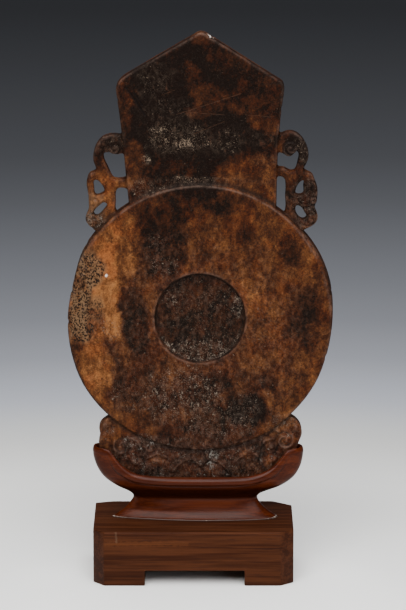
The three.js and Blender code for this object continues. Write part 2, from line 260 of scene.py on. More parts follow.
def grow_loop(work, loop, edges, row):
    """Extrudes a closed loop of points once and moves the new points onto the given row of places."""
    grown = bmesh.ops.extrude_edge_only(work, edges=edges)["geom"]
    fresh = {item for item in grown if isinstance(item, bmesh.types.BMVert)}
    partner = {}
    for vert in fresh:
        for edge in vert.link_edges:
            if edge.other_vert(vert) not in fresh:
                partner[edge.other_vert(vert)] = vert
    loop = [partner[vert] for vert in loop]
    for vert, place in zip(loop, row):
        vert.co = place
    return loop, [item for item in grown if isinstance(item, bmesh.types.BMEdge)]


def new_piece(work, name):
    """Turns a shape worked out in millimetres above the plinth into a smooth object at the origin."""
    bmesh.ops.scale(work, vec=(MM, MM, MM), verts=work.verts)
    bmesh.ops.translate(work, vec=(0, 0, PLINTH_TOP), verts=work.verts)
    bmesh.ops.remove_doubles(work, verts=work.verts, dist=1e-6)
    bmesh.ops.recalc_face_normals(work, faces=work.faces)
    mesh = bpy.data.meshes.new(name)
    work.to_mesh(mesh)
    work.free()
    shade_smooth(mesh)
    obj = bpy.data.objects.new(name, mesh)
    bpy.context.scene.collection.objects.link(obj)
    return obj


def write_attribute(mesh, name, values):
    """Stores one number a point for the materials to read."""
    layer = mesh.attributes.new(name, "FLOAT", "POINT")
    layer.data.foreach_set("value", np.clip(values, -0.3, 1.1).astype(np.float32))


def shade_smooth(mesh):
    """Smooth shading all over."""
    mesh.polygons.foreach_set("use_smooth", np.ones(len(mesh.polygons), bool))
    mesh.update()


def finish_piece(obj, material, slot, *nodes):
    """Gives a piece its material and its body, and hides the nodes that it stands for; the slot that it is
    given is not used.
    """
    obj.data.materials.clear()
    obj.data.materials.append(material)
    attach(obj, BODY)
    if nodes:
        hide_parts(*nodes)
    return obj


# ------------------------------------------------------------------ shader helpers


class Shader:
    """A short way to build node trees: each call makes one node and returns its main output."""

    def __init__(self, tree):
        self.tree = tree
        self.column = 0

    def node(self, kind, **settings):
        """Adds a node and moves it into place."""
        node = self.tree.nodes.new(kind)
        node.location = (self.column * 180 - 1800, -(self.column % 7) * 220)
        self.column += 1
        for key, value in settings.items():
            setattr(node, key, value)
        return node

    def feed(self, socket, value):
        """Links an output to a socket, or sets a plain value on it."""
        if isinstance(value, bpy.types.NodeSocket):
            self.tree.links.new(value, socket)
        elif value is not None:
            if socket.type == "RGBA" and len(value) == 3:
                value = (*value, 1.0)
            socket.default_value = value

    def object_place(self):
        """The place on the object, in metres."""
        return self.node("ShaderNodeTexCoord").outputs["Object"]

    def mapped(self, vector, scale=(1, 1, 1), location=(0, 0, 0)):
        """A place that is scaled or moved."""
        node = self.node("ShaderNodeMapping")
        self.feed(node.inputs["Vector"], vector)
        node.inputs["Scale"].default_value = scale
        node.inputs["Location"].default_value = location
        return node.outputs["Vector"]

    def noise(self, vector, scale, detail=3.0, roughness=0.55, distortion=0.0):
        """Smooth noise from 0 to 1."""
        node = self.node("ShaderNodeTexNoise")
        self.feed(node.inputs["Vector"], vector)
        self.feed(node.inputs["Scale"], scale)
        node.inputs["Detail"].default_value = detail
        node.inputs["Roughness"].default_value = roughness
        node.inputs["Distortion"].default_value = distortion
        return node.outputs["Fac"]

    def math(self, operation, a, b=None, c=None, clamp=False):
        """One arithmetic step."""
        node = self.node("ShaderNodeMath", operation=operation, use_clamp=clamp)
        for socket, value in zip(node.inputs, (a, b, c)):
            self.feed(socket, value)
        return node.outputs["Value"]

    def between(self, value, low, high, to_low=0.0, to_high=1.0):
        """Moves a range of values smoothly onto another."""
        node = self.node("ShaderNodeMapRange", interpolation_type="SMOOTHSTEP")
        self.feed(node.inputs["Value"], value)
        for socket, number in zip(("From Min", "From Max", "To Min", "To Max"), (low, high, to_low, to_high)):
            self.feed(node.inputs[socket], number)
        return node.outputs["Result"]

    def mix(self, factor_value, a, b, blend="MIX"):
        """Mixes two colours."""
        node = self.node("ShaderNodeMix", data_type="RGBA", blend_type=blend)
        self.feed(node.inputs["Factor"], factor_value)
        self.feed(node.inputs[6], a)
        self.feed(node.inputs[7], b)
        return node.outputs[2]

    def blend_stops(self, value, stops):
        """A colour ramp through the given stops."""
        node = self.node("ShaderNodeValToRGB")
        self.feed(node.inputs["Fac"], value)
        elements = node.color_ramp.elements
        while len(elements) < len(stops):
            elements.new(0.5)
        for element, (place, shade) in zip(elements, stops):
            element.position = place
            element.color = (*shade, 1.0)
        return node.outputs["Color"]

    def stored(self, name):
        """A number stored on the mesh."""
        return self.node("ShaderNodeAttribute", attribute_name=name).outputs["Fac"]

    def bump(self, height, distance, strength):
        """Fine unevenness of the surface."""
        node = self.node("ShaderNodeBump")
        node.inputs["Strength"].default_value = strength
        node.inputs["Distance"].default_value = distance
        self.feed(node.inputs["Height"], height)
        return node.outputs["Normal"]

    def group(self, tree, **inputs):
        """Uses a shared node group."""
        node = self.node("ShaderNodeGroup", node_tree=tree)
        for name, value in inputs.items():
            self.feed(node.inputs[name], value)
        return node


def new_group(name, inputs, outputs):
    """A node group with the given sockets; returns its tree, its input node and its output node."""
    tree = bpy.data.node_groups.new(name, "ShaderNodeTree")
    for direction, sockets in (("INPUT", inputs), ("OUTPUT", outputs)):
        for label, kind, default in sockets:
            socket = tree.interface.new_socket(name=label, in_out=direction, socket_type=kind)
            if default is not None:
                socket.default_value = default
    return tree, tree.nodes.new("NodeGroupInput"), tree.nodes.new("NodeGroupOutput")


def shared(name):
    """One of the shared node groups, built the first time that it is asked for."""
    return bpy.data.node_groups.get(name) or GROUPS[name](name)


def specks_group(name):
    """Scattered pale grains that gather in clumps; shared by the jade and the glue."""
    tree, given, result = new_group(
        name,
        [
            ("place", "NodeSocketVector", None),
            ("clump_size", "NodeSocketFloat", 300.0),
            ("grain_size", "NodeSocketFloat", 1800.0),
            ("amount", "NodeSocketFloat", 0.5),
        ],
        [("mask", "NodeSocketFloat", None)],
    )
    shader = Shader(tree)
    clump = shader.noise(given.outputs["place"], given.outputs["clump_size"], 4.0, 0.62)
    grain = shader.noise(given.outputs["place"], given.outputs["grain_size"], 2.0, 0.6, 0.8)
    both = shader.math("ADD", shader.math("MULTIPLY", clump, 0.40), shader.math("MULTIPLY", grain, 0.60))
    limit = shader.math("SUBTRACT", 0.70, shader.math("MULTIPLY", given.outputs["amount"], 0.20))
    shader.feed(
        result.inputs["mask"],
        shader.between(both, limit, shader.math("ADD", limit, 0.07)),
    )
    return tree


def grain_group(name):
    """Straight wood grain along X: fine dark pores over broad light and dark streaks."""
    tree, given, result = new_group(
        name,
        [
            ("place", "NodeSocketVector", None),
            ("dark", "NodeSocketColor", (0.05, 0.01, 0.006, 1.0)),
            ("light", "NodeSocketColor", (0.12, 0.03, 0.015, 1.0)),
            ("pores", "NodeSocketFloat", 0.5),
        ],
        [("color", "NodeSocketColor", None), ("height", "NodeSocketFloat", None)],
    )
    shader = Shader(tree)
    place = given.outputs["place"]
    broad = shader.noise(shader.mapped(place, (9, 240, 240)), 1.0, 3.0, 0.55, 0.6)
    fine = shader.noise(shader.mapped(place, (30, 1500, 1500)), 1.0, 3.0, 0.6, 0.3)
    pores = shader.noise(shader.mapped(place, (90, 3600, 3600)), 1.0, 2.0, 0.5)
    tone = shader.math("ADD", shader.math("MULTIPLY", broad, 0.52), shader.math("MULTIPLY", fine, 0.48))
    streaks = shader.between(tone, 0.40, 0.61)
    base = shader.mix(streaks, given.outputs["dark"], given.outputs["light"])
    open_pores = shader.math("MULTIPLY", shader.between(pores, 0.60, 0.72), given.outputs["pores"])
    shader.feed(result.inputs["color"], shader.mix(open_pores, base, (0.010, 0.004, 0.003)))
    shader.feed(
        result.inputs["height"],
        shader.math("SUBTRACT", shader.math("MULTIPLY", fine, 0.5), open_pores),
    )
    return tree


def scratch_group(name):
    """A fine straight line on a face, from one point to another, seen from the front."""
    tree, given, result = new_group(
        name,
        [
            ("place", "NodeSocketVector", None),
            ("start", "NodeSocketVector", None),
            ("end", "NodeSocketVector", None),
            ("width", "NodeSocketFloat", 0.0003),
        ],
        [("mask", "NodeSocketFloat", None)],
    )
    shader = Shader(tree)

    def vector_math(operation, a, b, output="Vector"):
        node = shader.node("ShaderNodeVectorMath", operation=operation)
        shader.feed(node.inputs[0], a)
        if operation == "SCALE":
            shader.feed(node.inputs["Scale"], b)
        elif b is not None:
            shader.feed(node.inputs[1], b)
        return node.outputs[output]

    flat = vector_math("MULTIPLY", given.outputs["place"], (1.0, 0.0, 1.0))
    from_start = vector_math("SUBTRACT", flat, given.outputs["start"])
    whole = vector_math("SUBTRACT", given.outputs["end"], given.outputs["start"])
    forward = vector_math("DOT_PRODUCT", from_start, whole, "Value")
    along = shader.math("DIVIDE", forward, vector_math("DOT_PRODUCT", whole, whole, "Value"))
    nearest = vector_math("SCALE", whole, shader.math("ADD", along, 0.0, clamp=True))
    away = vector_math("LENGTH", vector_math("SUBTRACT", from_start, nearest), None, "Value")
    ragged = shader.noise(given.outputs["place"], 900.0, 2.0)
    width = shader.math("MULTIPLY", given.outputs["width"], shader.between(ragged, 0.3, 0.7, 0.5, 1.4))
    core = shader.math("MULTIPLY", width, 0.25)
    shader.feed(result.inputs["mask"], shader.between(away, core, width, 1.0, 0.0))
    return tree


GROUPS = {"dry_specks": specks_group, "wood_grain": grain_group, "scratch": scratch_group}


def new_material(name):
    """A material with one Principled shader; returns the material, its shader node and the tree helper."""
    material = bpy.data.materials.new(name)
    material.use_nodes = True
    principled = material.node_tree.nodes["Principled BSDF"]
    return material, principled, Shader(material.node_tree)


# ------------------------------------------------------------------ the jade

# Cloudy areas of the stone as (x, height over the disc's middle, half width, half height, turn in
# degrees, tone). A tone of 0 is the darkest brown and 1 is clear honey.
CLOUDS = (
    (-51.0, 8.0, 9.0, 26.0, 0, 0.72),
    (-40.0, 14.0, 7.5, 28.0, 5, 0.92),
    (-46.0, -24.0, 8.0, 15.0, 18, 0.80),
    (-42.0, 38.0, 8.0, 7.0, -35, 0.78),
    (4.0, 50.5, 24.0, 6.0, 0, 0.28),
    (5.0, 37.0, 9.0, 11.0, 0, 0.38),
    (24.0, 46.0, 14.0, 10.0, -20, 0.42),
    (28.0, 14.0, 15.0, 17.0, 0, 0.54),
    (29.0, -15.0, 17.0, 13.0, 10, 0.46),
    (38.0, -35.0, 10.0, 7.0, 40, 0.37),
    (-24.0, 8.0, 5.0, 9.0, 0, 0.50),
    (-10.0, 25.0, 8.0, 5.0, 0, 0.50),
    (-33.0, 27.0, 5.0, 9.0, 0, 0.70),
    (-2.0, -30.0, 12.0, 5.0, 0, 0.36),
    (-18.0, -27.0, 7.0, 5.0, 20, 0.48),
    (-16.6, 36.0, 11.0, 17.0, -8, 0.10),
    (-29.5, -1.0, 6.5, 17.0, 6, 0.12),
    (-28.0, -33.0, 14.0, 12.0, -10, 0.24),
    (4.0, -42.0, 24.0, 13.0, 0, 0.17),
    (-10.0, -45.0, 7.0, 5.0, 0, 0.40),
    (21.0, -42.5, 9.5, 6.5, 8, -0.04),
    (7.0, -56.0, 9.0, 2.6, 0, -0.05),
    (40.5, 31.0, 5.0, 9.0, 0, 0.22),
    (19.5, 40.0, 3.2, 6.5, 0, 0.26),
    (49.5, 3.0, 5.5, 12.0, 0, 0.20),
    (31.0, -29.0, 4.0, 4.0, 0, 0.27),
    (0.0, 93.0, 42.0, 40.0, 0, -0.14),
    (0.7, 127.0, 5.0, 3.6, 0, 0.34),
    (17.0, 115.0, 17.0, 10.0, -30, 0.07),
    (-4.5, 111.0, 5.0, 5.0, 0, 0.16),
    (2.0, 102.5, 8.0, 4.0, 0, 0.19),
    (6.0, 96.8, 13.0, 4.6, 15, 0.21),
    (29.0, 89.0, 9.0, 5.0, -20, 0.33),
    (24.0, 96.5, 12.0, 6.0, -10, 0.15),
    (33.0, 104.0, 4.0, 9.0, 0, 0.18),
    (-34.0, 97.0, 4.2, 13.0, 8, 0.27),
    (-29.7, 73.0, 5.5, 8.0, 0, 0.38),
    (22.0, 66.0, 16.0, 9.5, 0, 0.42),
    (30.0, 56.0, 6.0, 8.0, 0, 0.46),
    (-14.0, 66.0, 12.0, 6.0, 0, 0.06),
    (-42.5, 58.0, 9.0, 8.0, 0, 0.66),
    (-47.0, 44.0, 6.0, 5.0, 0, 0.55),
    (-42.0, 78.0, 9.0, 6.0, 0, 0.08),
    (45.0, 77.0, 9.0, 8.0, 0, -0.16),
    (40.5, 76.5, 3.6, 3.8, 0, -0.20),
    (46.0, 54.0, 9.0, 11.0, 0, 0.16),
    (0.0, -66.0, 50.0, 14.0, 0, 0.20),
    (-39.5, -54.0, 3.4, 4.0, 0, 0.60),
    (-20.0, -66.0, 4.0, 3.0, 0, 0.44),
    (32.0, -66.0, 5.0, 3.0, 0, 0.46),
    (22.0, -63.0, 4.0, 3.0, 0, 0.40),
)

# Places where dry earth clings, as (x, height, half width, half height, amount).
EARTH = (
    (-9.0, 82.0, 17.0, 7.5, 0.68),
    (-6.7, 80.0, 5.0, 2.6, 1.00),
    (-18.0, 85.0, 5.0, 1.8, 0.95),
    (-23.8, 72.2, 2.2, 2.0, 0.90),
    (12.0, 80.5, 8.0, 7.0, 0.54),
    (25.0, 82.0, 9.0, 4.0, 0.35),
    (30.0, 72.0, 5.0, 3.0, 0.40),
    (-20.0, 108.0, 9.0, 9.0, 0.47),
    (-14.0, 94.0, 12.0, 7.0, 0.42),
    (-4.0, 63.2, 13.0, 1.7, 0.80),
    (-25.0, 60.0, 9.0, 5.0, 0.60),
    (0.0, 62.0, 34.0, 2.4, 0.45),
    (-17.0, 24.0, 7.0, 6.0, 0.62),
    (-20.0, 31.0, 6.0, 9.0, 0.50),
    (-22.0, -8.0, 6.0, 5.0, 0.45),
    (-48.0, -3.0, 5.0, 6.0, 0.45),
    (0.0, -9.0, 52.0, 46.0, 0.40),
    (-8.0, -36.0, 20.0, 15.0, 0.72),
    (-2.0, -29.0, 6.0, 4.0, 0.60),
    (8.0, -48.0, 22.0, 9.0, 0.62),
    (17.0, 7.0, 4.0, 5.0, 0.50),
    (23.0, 0.0, 4.0, 3.0, 0.45),
    (38.0, -16.0, 6.0, 6.0, 0.30),
    (20.0, -40.0, 9.0, 7.0, 0.60),
    (-32.0, -36.0, 10.0, 8.0, 0.50),
    (-38.0, -33.0, 3.0, 5.0, 0.62),
    (-40.0, -6.0, 5.0, 6.0, 0.62),
    (0.0, -14.5, 15.0, 4.6, 0.78),
    (0.0, 1.0, 19.0, 18.0, 0.52),
    (16.5, 4.0, 3.0, 6.0, 0.85),
    (-13.0, 9.0, 5.0, 6.0, 0.70),
    (0.0, -66.0, 48.0, 13.0, 0.55),
    (5.5, -66.0, 2.6, 6.5, 1.00),
    (-27.0, -58.0, 9.0, 5.0, 0.70),
    (38.0, -50.0, 8.0, 6.0, 0.66),
    (-42.0, -50.0, 4.0, 4.0, 0.55),
    (-40.0, 79.0, 8.0, 5.0, 0.50),
    (47.0, 77.0, 5.0, 9.0, 0.62),
    (47.0, 52.0, 7.0, 12.0, 0.58),
    (-47.0, 44.5, 5.0, 5.0, 0.85),
)

# The chalky, pitted side of the disc, as (x, height, half width, half height, amount).
CHALK = (
    (-53.5, 17.0, 6.0, 15.0, 1.00),
    (-53.5, -1.0, 6.5, 12.0, 1.00),
    (-49.0, 22.0, 6.0, 8.0, 0.80),
    (-46.5, 4.0, 4.5, 7.0, 0.60),
    (-47.5, 45.0, 6.0, 5.0, 0.55),
    (-47.0, 53.0, 4.0, 7.0, 0.35),
)

# Bare pale chips, and a painted glint at the first place, as (x, height, radius).
CHIPS_AND_GLINT = ((-42.2, 19.8, 0.46), (4.9, 127.5, 0.55), (6.1, 126.8, 0.40))

# Fine lines on the tablet's face as two (x, height) ends and a width.
PALE_SCRATCHES = (
    ((-10.1, 92.8), (18.0, 102.0), 0.42),
    ((-5.4, 93.7), (10.8, 92.5), 0.30),
    ((20.2, 92.5), (32.6, 91.6), 0.34),
    ((-3.1, 83.7), (10.8, 89.5), 0.30),
    ((-17.1, 101.3), (-11.2, 103.6), 0.26),
)
DARK_SCRATCHES = (
    ((-32.8, 104.8), (-24.6, 92.6), 0.75),
    ((-30.4, 104.4), (-25.8, 97.0), 0.60),
)


# Spiral lines in the curls, as (x, height, radius, turns, start in radians, hand, depth).
SPIRALS = (
    (-38.0, 77.0, 3.3, 1.35, 2.6, 1, 0.55),
    (40.5, 77.0, 3.4, 1.4, 0.6, -1, 0.55),
    (49.2, 59.8, 2.9, 1.2, 0.4, -1, 0.45),
    (49.9, 53.8, 2.3, 1.0, 0.0, -1, 0.35),
    (-48.3, 43.6, 3.0, 1.1, 2.6, 1, 0.40),
    (-47.2, 53.0, 2.2, 1.0, 2.4, 1, 0.30),
    (50.0, 44.8, 2.4, 1.0, -0.4, 1, 0.35),
    (-35.4, -59.4, 3.9, 1.4, 0.4, 1, 0.34),
    (38.3, -56.6, 3.9, 1.4, 2.6, -1, 0.34),
)
# Round grooves that set off the curls of the ears, as (x, height, radius).
CURL_RINGS = ((40.5, 76.4, 3.8), (49.5, 59.4, 3.1), (50.9, 53.4, 2.0), (48.0, 46.2, 4.1), (-47.6, 44.2, 3.4))
# Small losses from the edges of the disc and the tablet, as (x, height, radius, depth).
NICKS = (
    (-59.0, 21.0, 2.6, 0.45),
    (-58.4, 12.0, 2.2, 0.40),
    (-59.6, -2.0, 2.0, 0.35),
    (-52.0, 33.0, 2.4, 0.30),
    (5.6, 127.4, 1.3, 0.35),
    (-37.4, 99.0, 1.4, 0.25),
    (36.8, 95.0, 1.6, 0.25),
    (59.0, 12.0, 1.8, 0.30),
    (57.0, -18.0, 1.8, 0.25),
)

# Depths and heights of the worked surface, in millimetres.
RING_DEPTH = 0.40
PIT_DEPTH = 0.42
CHALK_LOSS = 0.16
RECESS_GRAIN = 0.42
CRUST_HEIGHT = 0.20
# Points further back than this belong to the back of the carving.
BACK_FACE = -1.0


def face_place(points):
    """Millimetres across and up from the disc's middle in the jade's own plane, and out to its front."""
    away = (points - np.array(DISC_CENTRE)) / MM
    up = away[:, 2] * math.cos(LEAN) + away[:, 1] * math.sin(LEAN)
    front = away[:, 2] * math.sin(LEAN) - away[:, 1] * math.cos(LEAN)
    return away[:, 0], up, front


def patches(across, up, table, wander, with_turn=False):
    """Lays soft oval patches over each other; returns each patch's weight and value."""
    for row in table:
        x, height, half_width, half_height = row[:4]
        turn = math.radians(row[4]) if with_turn else 0.0
        dx, dy = across - x, up - height
        u = (dx * math.cos(turn) + dy * math.sin(turn)) / half_width
        v = (dy * math.cos(turn) - dx * math.sin(turn)) / half_height
        reach = np.sqrt(u * u + v * v) + wander
        yield ramp(1.25 - reach, 0.0, 0.55), row[-1]


def cover_of(table, across, up, wander):
    """How strongly a table of patches covers each point; the strongest patch counts."""
    cover = np.zeros(len(across))
    for share, value in patches(across, up, table, wander):
        cover = np.maximum(cover, share * value)
    return cover


def chalk_cover(across, up, spot):
    """How chalky each point is."""
    return cover_of(CHALK, across, up, (layered(spot, 6.0, 41) - 0.5) * 0.7)


def earth_cover(across, up, spot):
    """How much dry earth clings to each point."""
    return cover_of(EARTH, across, up, (layered(spot, 3.5, 71) - 0.5) * 0.9)


def ripple(across, spot):
    """The shallow ripples that grow towards the right of the disc."""
    return layered(spot, 5.6, 11, 2) - 0.5, ramp(across, -25.0, 10.0)


def disc_reach(across, up):
    """How far out a point lies, with 1 on the edge of the disc."""
    return np.hypot(across / DISC_RADIUS, up / DISC_UPRIGHT)


def smooth_carving(mesh, pairs):
    """Rounds the facets away, most of all in the thin curls of the ears."""
    points = coordinates(mesh)
    across, up, _ = face_place(points)
    reach = disc_reach(across, up)
    on_tablet = (np.abs(across) < 33.5 + 0.06 * np.maximum(up - 60.0, 0.0)) & (up > 30.0)
    in_ear = (np.abs(across) > 30.0) & (up > 38.0) & (up < 87.0) & ~on_tablet & (reach > 1.004)
    in_base = (up < -42.0) & (reach > 1.0)
    weight = np.where(in_ear, 1.0, np.where(in_base, 0.9, 0.55))
    points = relax(points, pairs, weight, 4)
    points = relax(points, pairs, np.where(in_ear, 1.0, 0.0), 8)
    put_back(mesh, points)
    return points


def uneven_face(across, up, front, spot, relief):
    """Height of the lumps and hollows, and of the rough floor of the recess."""
    calm = np.where(front < 0, 0.6, 1.0)
    swell = (layered(spot, 21.0, 3) - 0.5) * 1.5
    waves, growth = ripple(across, spot)
    swell += waves * 1.25 * growth
    rough = (layered(spot, 2.2, 23, 2) - 0.5) * 0.55
    height = relief / MM * calm * (swell + rough)
    in_recess = (np.hypot(across, up) < RECESS_RADIUS - 0.6) & (front > 0)
    height += np.where(in_recess, (layered(spot, 1.7, 31, 3) - 0.45) * RECESS_GRAIN, 0.0)
    return height


def pitting(across, up, front, spot):
    """Depth that the chalky side has lost, with its pits."""
    chalk = chalk_cover(across, up, spot) * np.where(front > 1.0, 1.0, 0.35)
    pits = ramp(lumps(spot, 1.25, 53), 0.60, 0.82) * chalk
    return PIT_DEPTH * pits + CHALK_LOSS * chalk * layered(spot, 4.0, 61)


def crust(across, up, front, spot):
    """Share of the full height that the crusts of earth reach."""
    earth = earth_cover(across, up, spot)
    return ramp(layered(spot, 1.6, 83, 2), 0.52, 0.75) * earth * np.where(front > 0, 1.0, 0.4)


def cut_scrolls(across, up, front):
    """Depth of the spiral lines and rings carved into the curls of the ears and the base."""
    depth = np.zeros(len(across))
    for x, height, radius, turns, start, hand, deep in SPIRALS:
        dx, dy = across - x, up - height
        reach = np.hypot(dx, dy) / radius
        angle = np.mod(hand * (np.arctan2(dy, dx) - start), 2 * math.pi) / (2 * math.pi)
        winding = reach * turns + angle
        groove = 1.0 - ramp(np.abs(np.mod(winding, 1.0) - 0.5), 0.06, 0.20)
        inside = ramp(reach, 0.12, 0.25) * ramp(-reach, -1.12, -0.98)
        depth = np.maximum(depth, deep * groove * inside)
    for x, height, radius in CURL_RINGS:
        outline = np.abs(np.hypot(across - x, up - height) - radius)
        depth = np.maximum(depth, RING_DEPTH * (1.0 - ramp(outline, 0.12, 0.55)))
    return depth * np.where(front > 0.5, 1.0, 0.0)


def nick_edges(points, normal, spot):
    """Takes the small losses out of the edges, moving the given points themselves."""
    for x, height, radius, deep in NICKS:
        away = np.hypot(spot[:, 0] - x, spot[:, 1] - height) / radius
        fade = ramp(1.0 - away + (lumps(spot, 1.1, 97) - 0.5) * 0.5, 0.0, 0.8)
        points -= normal * (fade * deep * MM)[:, None]


def sculpt_jade(obj, relief):
    """Rounds the carving, cuts its scroll lines and gives its faces their lumps, pits and worn edges."""
    mesh = obj.data
    points = smooth_carving(mesh, edge_pairs(mesh))
    normal = normals(mesh)
    across, up, front = face_place(points)
    spot = np.stack([across, up, front], axis=1)
    facing = ramp(np.abs(normal[:, 1]), 0.5, 0.9)
    height = uneven_face(across, up, front, spot, relief)
    height -= pitting(across, up, front, spot)
    height += CRUST_HEIGHT * crust(across, up, front, spot) * facing
    height -= cut_scrolls(across, up, front)
    points = points + normal * (height * MM)[:, None]
    nick_edges(points, normal, spot)
    put_back(mesh, points)


def stone_tone(across, up, front, spot):
    """The stone's tone at each point, from 0 for the darkest brown to 1 for clear honey."""
    tone = 0.42 + (layered(spot, 14.0, 101) - 0.5) * 0.5
    wander = (layered(spot, 9.0, 103) - 0.5) * 0.85 + (layered(spot, 3.0, 107, 2) - 0.5) * 0.4
    for cover, value in patches(across, up, CLOUDS, wander, True):
        tone = tone + (value - tone) * cover
    waves, growth = ripple(across, spot)
    tone += 0.42 * (waves * growth) * (disc_reach(across, up) < 1.0)
    in_recess = (np.hypot(across, up) < RECESS_RADIUS - 0.2) & (front > 0)
    tone = np.where(in_recess, 0.12 + (layered(spot, 5.0, 109) - 0.5) * 0.25, tone)
    return np.where(front < BACK_FACE, 0.38 + (layered(spot, 21.0, 113, 3) - 0.5) * 0.55, tone)


def painted_earth(across, up, front, spot):
    """The earth that shows, with a dusty ring low in the recess and little of it on the back."""
    from_middle = np.hypot(across, up)
    dusty_rim = ramp(1.5 - np.abs(from_middle - (RECESS_RADIUS - 1.6)), 0.0, 1.0) * ramp(-up, 2.0, 12.0)
    earth = np.maximum(earth_cover(across, up, spot), 0.92 * dusty_rim)
    return np.where(front < BACK_FACE, ramp(layered(spot, 13.0, 127), 0.52, 0.75) * 0.5, earth)


def bending(mesh, points, pairs):
    """How far each point lies below its neighbours, evened out; less than 0 on an edge."""
    count = np.maximum(np.bincount(pairs.ravel(), minlength=len(points)), 1).astype(float)
    bend = np.einsum("ij,ij->i", neighbour_mean(points, pairs, count) - points, normals(mesh)) / MM
    for _ in range(3):
        bend = 0.5 * bend + 0.5 * neighbour_mean(bend, pairs, count)
    return bend


def rubbed_and_highlit_edges(bend, across, up, front):
    """Where the edges are worn pale and carry a painted highlight, with a fine line of both along the disc's
    upper right rim.
    """
    reach = disc_reach(across, up)
    edge = ramp(-bend, 0.014, 0.060)
    carved = (reach > 1.01) & ((up < -40.0) | (np.abs(across) > 37.5))
    edge *= np.where(carved, 0.9, 1.0)
    # The fine rim line is painted highlight on the lit upper right, along with wear.
    rubbed = ramp(0.010 - np.abs(reach - 0.986), 0.0, 0.007) * ramp(up + 0.45 * across, 0.0, 25.0)
    return np.maximum(edge, 0.9 * rubbed * (front > 3.0))


def hollow_shade_and_dirt(bend, across, up, front):
    """Where painted shade, along with dirt, darkens the hollows, the foot of the disc's edge and the scroll
    lines.
    """
    reach = disc_reach(across, up)
    hollow = ramp(bend, 0.010, 0.050)
    rim = (reach > 1.0) & (reach < 1.045) & (front > 0) & (front < 5.0)
    hollow = np.maximum(hollow, np.where(rim, ramp(1.045 - reach, 0.0, 0.03), 0.0))
    return np.maximum(hollow, ramp(cut_scrolls(across, up, front), 0.05, 0.40) * 0.95)


def chips_and_glint(across, up, front):
    """The fresh pale chips, and the painted glint at the first place."""
    chip_and_glint = np.zeros(len(across))
    for x, height, radius in CHIPS_AND_GLINT:
        away = np.hypot(across - x, up - height) / radius
        chip_and_glint = np.maximum(chip_and_glint, ramp(1.3 - away, 0.0, 0.5) * (front > 0))
    return chip_and_glint


def paint_jade(mesh):
    """Stores the stone's tone, chalk, earth, pale edges of wear and painted highlight, hollows of painted
    shade and dirt, and chips with a painted glint, for its material.
    """
    points = coordinates(mesh)
    across, up, front = face_place(points)
    spot = np.stack([across, up, front], axis=1)
    bend = bending(mesh, points, edge_pairs(mesh))
    chalk = chalk_cover(across, up, spot)
    write_attribute(mesh, "tone", stone_tone(across, up, front, spot))
    write_attribute(mesh, "chalk", np.where(front < BACK_FACE, chalk * 0.6, chalk))
    write_attribute(mesh, "earth", painted_earth(across, up, front, spot))
    write_attribute(mesh, "edge", rubbed_and_highlit_edges(bend, across, up, front))
    write_attribute(mesh, "hollow", hollow_shade_and_dirt(bend, across, up, front))
    write_attribute(mesh, "chip_and_glint", chips_and_glint(across, up, front))


def scratch_lines(shader, place, table):
    """One mask for a whole table of scratches."""
    lines = None
    for start, end, width in table:
        line = shader.group(
            shared("scratch"),
            place=place,
            start=(start[0] * MM, 0.0, DISC_CENTRE.z + start[1] * MM),
            end=(end[0] * MM, 0.0, DISC_CENTRE.z + end[1] * MM),
            width=width * MM,
        ).outputs["mask"]
        lines = line if lines is None else shader.math("MAXIMUM", lines, line)
    return lines


# Fixed colours of small marks on the stone, some of them painted light and shade.
PORE_BROWN = (0.012, 0.0055, 0.0036)
PIT_BROWN = (0.010, 0.0055, 0.0038)
# Colour of the painted shade and dirt in the hollows.
HOLLOW_SHADE_AND_DIRT_BROWN = (0.0085, 0.0050, 0.0038)
GRIT_TAN = (0.130, 0.098, 0.072)
PALE_LINE = (0.090, 0.042, 0.022)
DARK_LINE = (0.004, 0.0025, 0.002)
# Colour of the pale edges: wear together with painted highlight.
RUBBED_AND_HIGHLIT_TAN = (0.105, 0.066, 0.050)
# Colour of the pale chips and of the painted glint.
CHIP_AND_GLINT_WHITE = (0.72, 0.67, 0.61)
# What the red veil leaves of each colour.
RED_VEIL = (1.0, 0.66, 0.55)
# Heights, in metres, between which the earth turns to clay going up and to dust going down.
CLAY_FROM = 0.170
CLAY_FULL = 0.182
DUST_FULL = 0.060
DUST_FROM = 0.072


def cloud_tone(shader, coarse, middle, fine):
    """The stored tone, broken up by three sizes of grain."""
    cloud = shader.stored("tone")
    for grain, gain in ((coarse, 1.08), (middle, 0.95), (fine, 0.8)):
        cloud = shader.math("MULTIPLY_ADD", shader.math("SUBTRACT", grain, 0.5), gain, cloud)
    return cloud


def clouded_stone(shader, place, cloud, settings):
    """The colours of the clouds, from night brown to amber, under a red veil."""
    stone = shader.blend_stops(
        shader.math("MULTIPLY_ADD", cloud, 0.65, 0.1),
        [
            (0.10, tuple(settings.night)),
            (0.32, tuple(settings.russet)),
            (0.555, tuple(settings.honey)),
            (0.75, tuple(settings.amber)),
            (1.0, tuple(1.5 * value for value in settings.amber)),
        ],
    )
    veil = shader.noise(shader.mapped(place, location=(5, 3, 9)), 125.0, 3.0, 0.55)
    return shader.mix(shader.between(veil, 0.44, 0.62, 0.0, 0.5), stone, RED_VEIL, "MULTIPLY")


def dark_pores(shader, place, cloud):
    """Fine dark grain, weaker where the stone is pale."""
    pores = shader.noise(shader.mapped(place, location=(1, 9, 4)), 1250.0, 3.0, 0.6, 0.5)
    fading = shader.between(cloud, 0.45, 1.0, 1.0, 0.3)
    return shader.math("MULTIPLY", shader.between(pores, 0.53, 0.63), fading)


